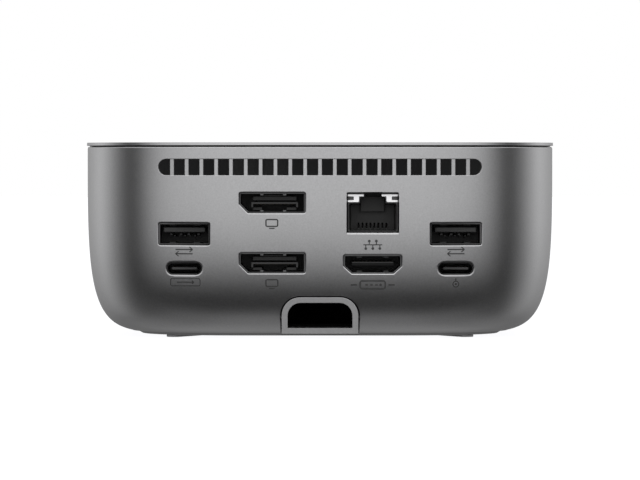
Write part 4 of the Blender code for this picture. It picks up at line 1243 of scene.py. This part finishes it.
def make_power_button():
    centre = (0.0, BUTTON_Y)
    crown = BUTTON_HIGH.z
    flange = BUTTON_HIGH.x
    dish = 0.22 * MM
    profile = [(share * (BUTTON_RADIUS - 0.5 * MM), crown - dish * (1 - share ** 2))
               for share in (0.0, 0.2, 0.4, 0.6, 0.8, 0.9)]
    round_over = 0.3 * MM
    middle = BUTTON_RADIUS - round_over
    for degrees in (100, 90, 70, 45, 20, 0):
        angle = math.radians(degrees)
        out = 1 if degrees < 90 else -1
        profile.append((middle + out * round_over * math.cos(angle),
                        crown - round_over + round_over * math.sin(angle)))
    stem, flange_top, flange_bottom = 1.4 * MM, 48.6 * MM, 47.8 * MM
    profile += [(BUTTON_RADIUS, flange_top), (flange, flange_top), (flange, flange_bottom),
                (stem, flange_bottom), (stem, BUTTON_LOW.z), (0.0, BUTTON_LOW.z)]
    button = lathe("button_cap", profile, centre, 96)
    place_piece(button, "cover_metal", "cover", "power_button", body="power_button")
    ring_low, ring_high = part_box("power_light_ring")
    inner, outer = 6.9 * MM, ring_high.x
    edge = 0.1 * MM
    ring = lathe("button_light", [(inner, ring_low.z), (inner, ring_high.z - edge),
                                  (inner + edge, ring_high.z), (outer - edge, ring_high.z),
                                  (outer, ring_high.z - edge), (outer, ring_low.z)],
                 centre, 96, closed=True)
    place_piece(ring, "light_guide", "guide", "power_light_ring")
    glyph = bmesh.new()

    def on_button(x, y, rise):
        reach = math.hypot(x, y) / (BUTTON_RADIUS - 0.5 * MM)
        return Vector((x, BUTTON_Y + y, crown - dish * (1 - reach ** 2) + rise))

    sweep = [(1.9 * MM * math.sin(a), 1.9 * MM * math.cos(a))
             for a in (math.radians(35 + 290 * i / 40) for i in range(41))]
    stroke(glyph, sweep, 0.42 * MM, on_button)
    stroke(glyph, [(0.0, (0.4 + 0.5 * i) * MM) for i in range(5)], 0.42 * MM, on_button)
    place_cage("button_symbol", glyph, "light_guide", "guide", body="power_button")


# ---------------- printed marks

INK_RISE = 0.02 * MM
INK_ROOT = -0.1 * MM


def on_rear(x, z, rise):
    return rear(x, skin_depth(x, z) + rise, z)


def spaced(points, closed, step=0.35 * MM):
    """The same line with extra points, so that no piece of it is longer than one step."""
    ends = points[1:] + points[:1] if closed else points[1:]
    dense = []
    for start, end in zip(points, ends):
        parts = max(1, math.ceil((Vector(end) - Vector(start)).length / step))
        dense += [tuple(Vector(start).lerp(Vector(end), i / parts)) for i in range(parts)]
    return dense if closed else dense + [tuple(points[-1])]


def stroke(cage, points, width, surface, closed=False):
    """A thin inlaid line along points of a surface, as a closed strip."""
    points = spaced(points, closed)
    count = len(points)
    rings = []
    for i in range(count):
        before = points[i - 1] if closed or i > 0 else points[i]
        after = points[(i + 1) % count] if closed or i < count - 1 else points[i]
        along = (Vector(after) - Vector(before)).normalized()
        across = Vector((-along.y, along.x)) * width / 2
        here = Vector(points[i])
        one, two = here + across, here - across
        rings.append([surface(one.x, one.y, INK_ROOT), surface(one.x, one.y, INK_RISE),
                      surface(two.x, two.y, INK_RISE), surface(two.x, two.y, INK_ROOT)])
    add_rings(cage, rings, cyclic=closed)


def shifted(origin, point):
    """A place some millimetres across and up from an origin."""
    return (origin[0] + point[0] * MM, origin[1] + point[1] * MM)


def line(cage, origin, start, end, width=0.3):
    stroke(cage, [shifted(origin, start), shifted(origin, end)], width * MM, on_rear)


def frame_line(cage, origin, middle, size, radius, width):
    """A rounded frame."""
    outline = rounded_box(shifted(origin, middle), (size[0] * MM, size[1] * MM), radius * MM, 4)
    stroke(cage, outline, width * MM, on_rear, closed=True)


def dot(cage, origin, middle, radius):
    """A small inlaid disc."""
    loop = circle(shifted(origin, middle), radius * MM, 16)
    add_rings(cage, [on_skin(loop, INK_ROOT), on_skin(loop, INK_RISE)])


def arrow(cage, origin, start, end, head):
    """A straight arrow along a row."""
    line(cage, origin, start, end, 0.32)
    back = head if end[0] < start[0] else -head
    for side in (-1, 1):
        line(cage, origin, (end[0] + back, end[1] + side * head * 0.8), end, 0.26)


def mark_place(node, drop):
    """The spot below a connector's middle."""
    return shifted(centre_of(node, rear)[0], (0, -drop))


def make_marks():
    """Generic signs under the ports: screens, a plug, a network, arrows and a ring."""
    cage = bmesh.new()
    for node in ("display_upper_shell", "display_lower_shell"):
        spot = mark_place(node, 5.45)
        frame_line(cage, spot, (-0.1, 0.3), (3.0, 1.75), 0.35, 0.36)
        line(cage, spot, (-0.8, -1.075), (0.6, -1.075))
    spot = mark_place("video_shell", 5.3)
    frame_line(cage, spot, (0, 0), (6.4, 2.0), 0.5, 0.42)
    for shift in (-1.9, -0.65, 0.6):
        line(cage, spot, (shift, 0), (shift + 0.7, 0), 0.4)
    dot(cage, spot, (2.0, 0), 0.34)
    for side in (-1, 1):
        line(cage, spot, (side * 4.0, 0), (side * 5.6, 0), 0.4)
    spot = (centre_of(JACK_NODE, rear)[0][0], 24.2 * MM)
    line(cage, spot, (-2.4, 0), (2.4, 0), 0.26)
    for shift, rise in ((-0.9, 1), (0.9, 1), (-1.8, -1), (0.0, -1), (1.8, -1)):
        line(cage, spot, (shift, 0), (shift, rise * 0.7), 0.24)
        dot(cage, spot, (shift, rise * 0.95), 0.36)
    for name in ("left", "right"):
        spot = mark_place(name + "_usb_a_shell", 4.5)
        for side in (1, -1):
            arrow(cage, spot, (-2.2 * side, 0.55 * side), (2.2 * side, 0.55 * side), 0.8)
    spot = mark_place("left_usb_c_shell", 3.5)
    frame_line(cage, spot, (0.3, 0), (7.6, 1.9), 0.45, 0.24)
    arrow(cage, spot, (-1.9, 0), (2.5, 0), 0.5)
    spot = mark_place("right_usb_c_shell", 4.0)
    stroke(cage, circle(spot, 0.75 * MM, 24), 0.26 * MM, on_rear, closed=True)
    line(cage, spot, (0, 0.75), (0, 1.5), 0.26)
    dot(cage, spot, (0, 0), 0.28)
    place_cage("port_marks", cage, "black_plastic", "ink")


# ---------------- finishes of the carried-over nodes

NODE_FINISH = {
    "black": ("chassis_frame", "left_usb_body", "right_usb_body", "display_body",
              "video_network_body", "audio_jack", "power_inlet_body"),
    # painted light on the fan housing and rotor, seen through the vent slots
    "painted_glow_fan": ("fan_housing", "fan_rotor"),
    "tongue": ("switch_plunger",),
    # painted shade on the bracket behind the tunnel
    "shade_black": ("host_port_bracket",),
    "board": ("main_board", "button_board"),
    "chip": ("controller_chip", "hub_chip", "network_chip", "power_switch", "power_coil"),
    "pad": ("thermal_pad",),
    "bare": ("heat_sink",),
    "steel": ("fan_cover", "fan_spindle", "lock_plate"),
}


def finish_nodes():
    for material, names in NODE_FINISH.items():
        for name in names:
            for slot in NODES[name].material_slots:
                slot.material = MATERIAL[material]


make_cover()
make_base()
make_feet()
make_screws()
for prefix in ("left_usb_a", "right_usb_a"):
    make_usb_a(prefix)
for prefix in ("left_usb_c", "right_usb_c", "host_port"):
    make_usb_c(prefix, rear)
make_usb_c("front_usb_c", front)
for level in ("upper", "lower"):
    make_display_port(level)
make_video_port()
make_network_jack()
make_tunnel()
make_audio_port()
make_power_inlet()
make_power_button()
make_marks()
finish_nodes()


# ---------------- stage, light and camera

def make_floor():
    """A pale floor that the camera sees evenly lit; from below it is clear."""
    cage = bmesh.new()
    bmesh.ops.create_grid(cage, x_segments=1, y_segments=1, size=6.0)
    floor = mesh_object("floor", cage)
    floor.location.z = -0.05 * MM
    finish = Finish("pale_floor")
    colour = finish.levels(finish.noise(3.0), (0.3, 0.975), (0.7, 0.985))
    shade = finish.add("Mix")
    shade.data_type = "RGBA"
    shade.blend_type = "MULTIPLY"
    finish.feed(shade, Factor=1.0, A=colour, B=(0.03, 0.03, 0.03, 1))
    finish.feed(finish.shader, Base_Color=shade.outputs["Result"], Roughness=0.9,
                Emission_Color=colour, Emission_Strength=0.985)
    finish.mix(finish.add("NewGeometry").outputs["Backfacing"], finish.shader,
               finish.add("BsdfTransparent"), finish.nodes["Material Output"])
    floor.data.materials.append(finish.material)
    floor.visible_glossy = False
    floor.visible_diffuse = False


def make_studio():
    """A soft studio as a world: a wide front light, side gaps, rear lights and a pale floor glow."""
    world = bpy.data.worlds.new("studio")
    bpy.context.scene.world = world
    world.use_nodes = True
    world.node_tree.nodes.clear()
    tree = Tree(world.node_tree)
    calc, levels = tree.calc, tree.levels
    split = tree.add("SeparateXYZ")
    tree.links.new(tree.add("TexCoord").outputs["Generated"], split.inputs[0])
    x, y, z = split.outputs
    side = calc("ABSOLUTE", x)
    towards = calc("MULTIPLY", y, -1.0)
    azimuth = calc("DIVIDE", calc("ARCTAN2", side, towards), math.pi)
    height = calc("ADD", calc("DIVIDE", calc("ARCSINE", z), math.pi), 0.5)
    under = calc("DIVIDE", calc("ARCTAN2", calc("MULTIPLY", z, -1.0), towards), math.pi)
    round_level = levels(azimuth, (0, 0.68), (0.20, 0.60), (0.31, 0.51), (0.38, 0.27), (0.44, 0.02),
                         (0.50, 0.02), (0.56, 0.15), (0.64, 0.40), (0.73, 0.60), (0.80, 0.38), (1, 0.15))
    height_level = levels(height, (0, 0), (0.333, 0.005), (0.394, 0.085), (0.437, 0.26), (0.464, 0.45),
                          (0.483, 0.68), (0.50, 0.86), (0.533, 1), (1, 1))
    behind_level = levels(height, (0, 0.10), (0.20, 0.15), (0.263, 0.21), (0.31, 0.28), (0.34, 0.36),
                          (0.377, 0.43), (0.41, 0.50), (0.438, 0.55), (0.46, 0.62), (0.483, 0.72),
                          (0.50, 0.86), (0.533, 1), (1, 1))
    behind_mask = levels(azimuth, (0, 0), (0.46, 0), (0.54, 1), (1, 1))
    low_mask = levels(height, (0, 1), (0.34, 1), (0.45, 0), (1, 0))
    under_level = levels(under, (0, 0), (0.167, 0.015), (0.25, 0.015), (0.32, 0.055), (0.40, 0.135),
                         (0.54, 0.15), (0.65, 0.18), (0.76, 0.18), (0.83, 0.17), (0.90, 0.08), (1, 0.02))
    reach_level = levels(side, (0, 1), (0.10, 1), (0.22, 0.80), (0.45, 0.74), (0.56, 0.65), (0.67, 0.45),
                         (0.78, 0.32), (1, 0.2))
    above_level = levels(height, (0, 0), (0.60, 0), (0.70, 0.75), (1, 1))
    extra = calc("MULTIPLY", calc("SUBTRACT", behind_level, height_level), behind_mask)
    level = calc("MULTIPLY", round_level, calc("ADD", height_level, extra))
    floor_glow = calc("MULTIPLY", calc("MULTIPLY", low_mask, under_level), reach_level)
    level = calc("MAXIMUM", calc("MAXIMUM", level, floor_glow), above_level)
    studio = tree.add("Background", Color=level, Strength=2.0)
    paper = tree.add("Background", Color=(1.0, 1.0, 1.0, 1))
    tree.mix(tree.add("LightPath").outputs["Is Camera Ray"], studio, paper, tree.add("OutputWorld"))


def make_camera():
    """A long lens, level with the vent row and almost square to the rear face."""
    data = bpy.data.cameras.new("camera")
    data.lens = 297.7
    data.sensor_width = 36.0
    data.clip_end = 20.0
    camera = bpy.data.objects.new("camera", data)
    bpy.context.scene.collection.objects.link(camera)
    distance = 1.35
    eye_height = 44.5 * MM
    camera.location = (0.0, -SHELL_HALF - distance, eye_height)
    camera.rotation_euler = (math.radians(90 - 0.809), 0.0, 0.0)
    bpy.context.scene.camera = camera


make_floor()
make_studio()
make_camera()
bpy.context.scene.view_settings.view_transform = "Standard"
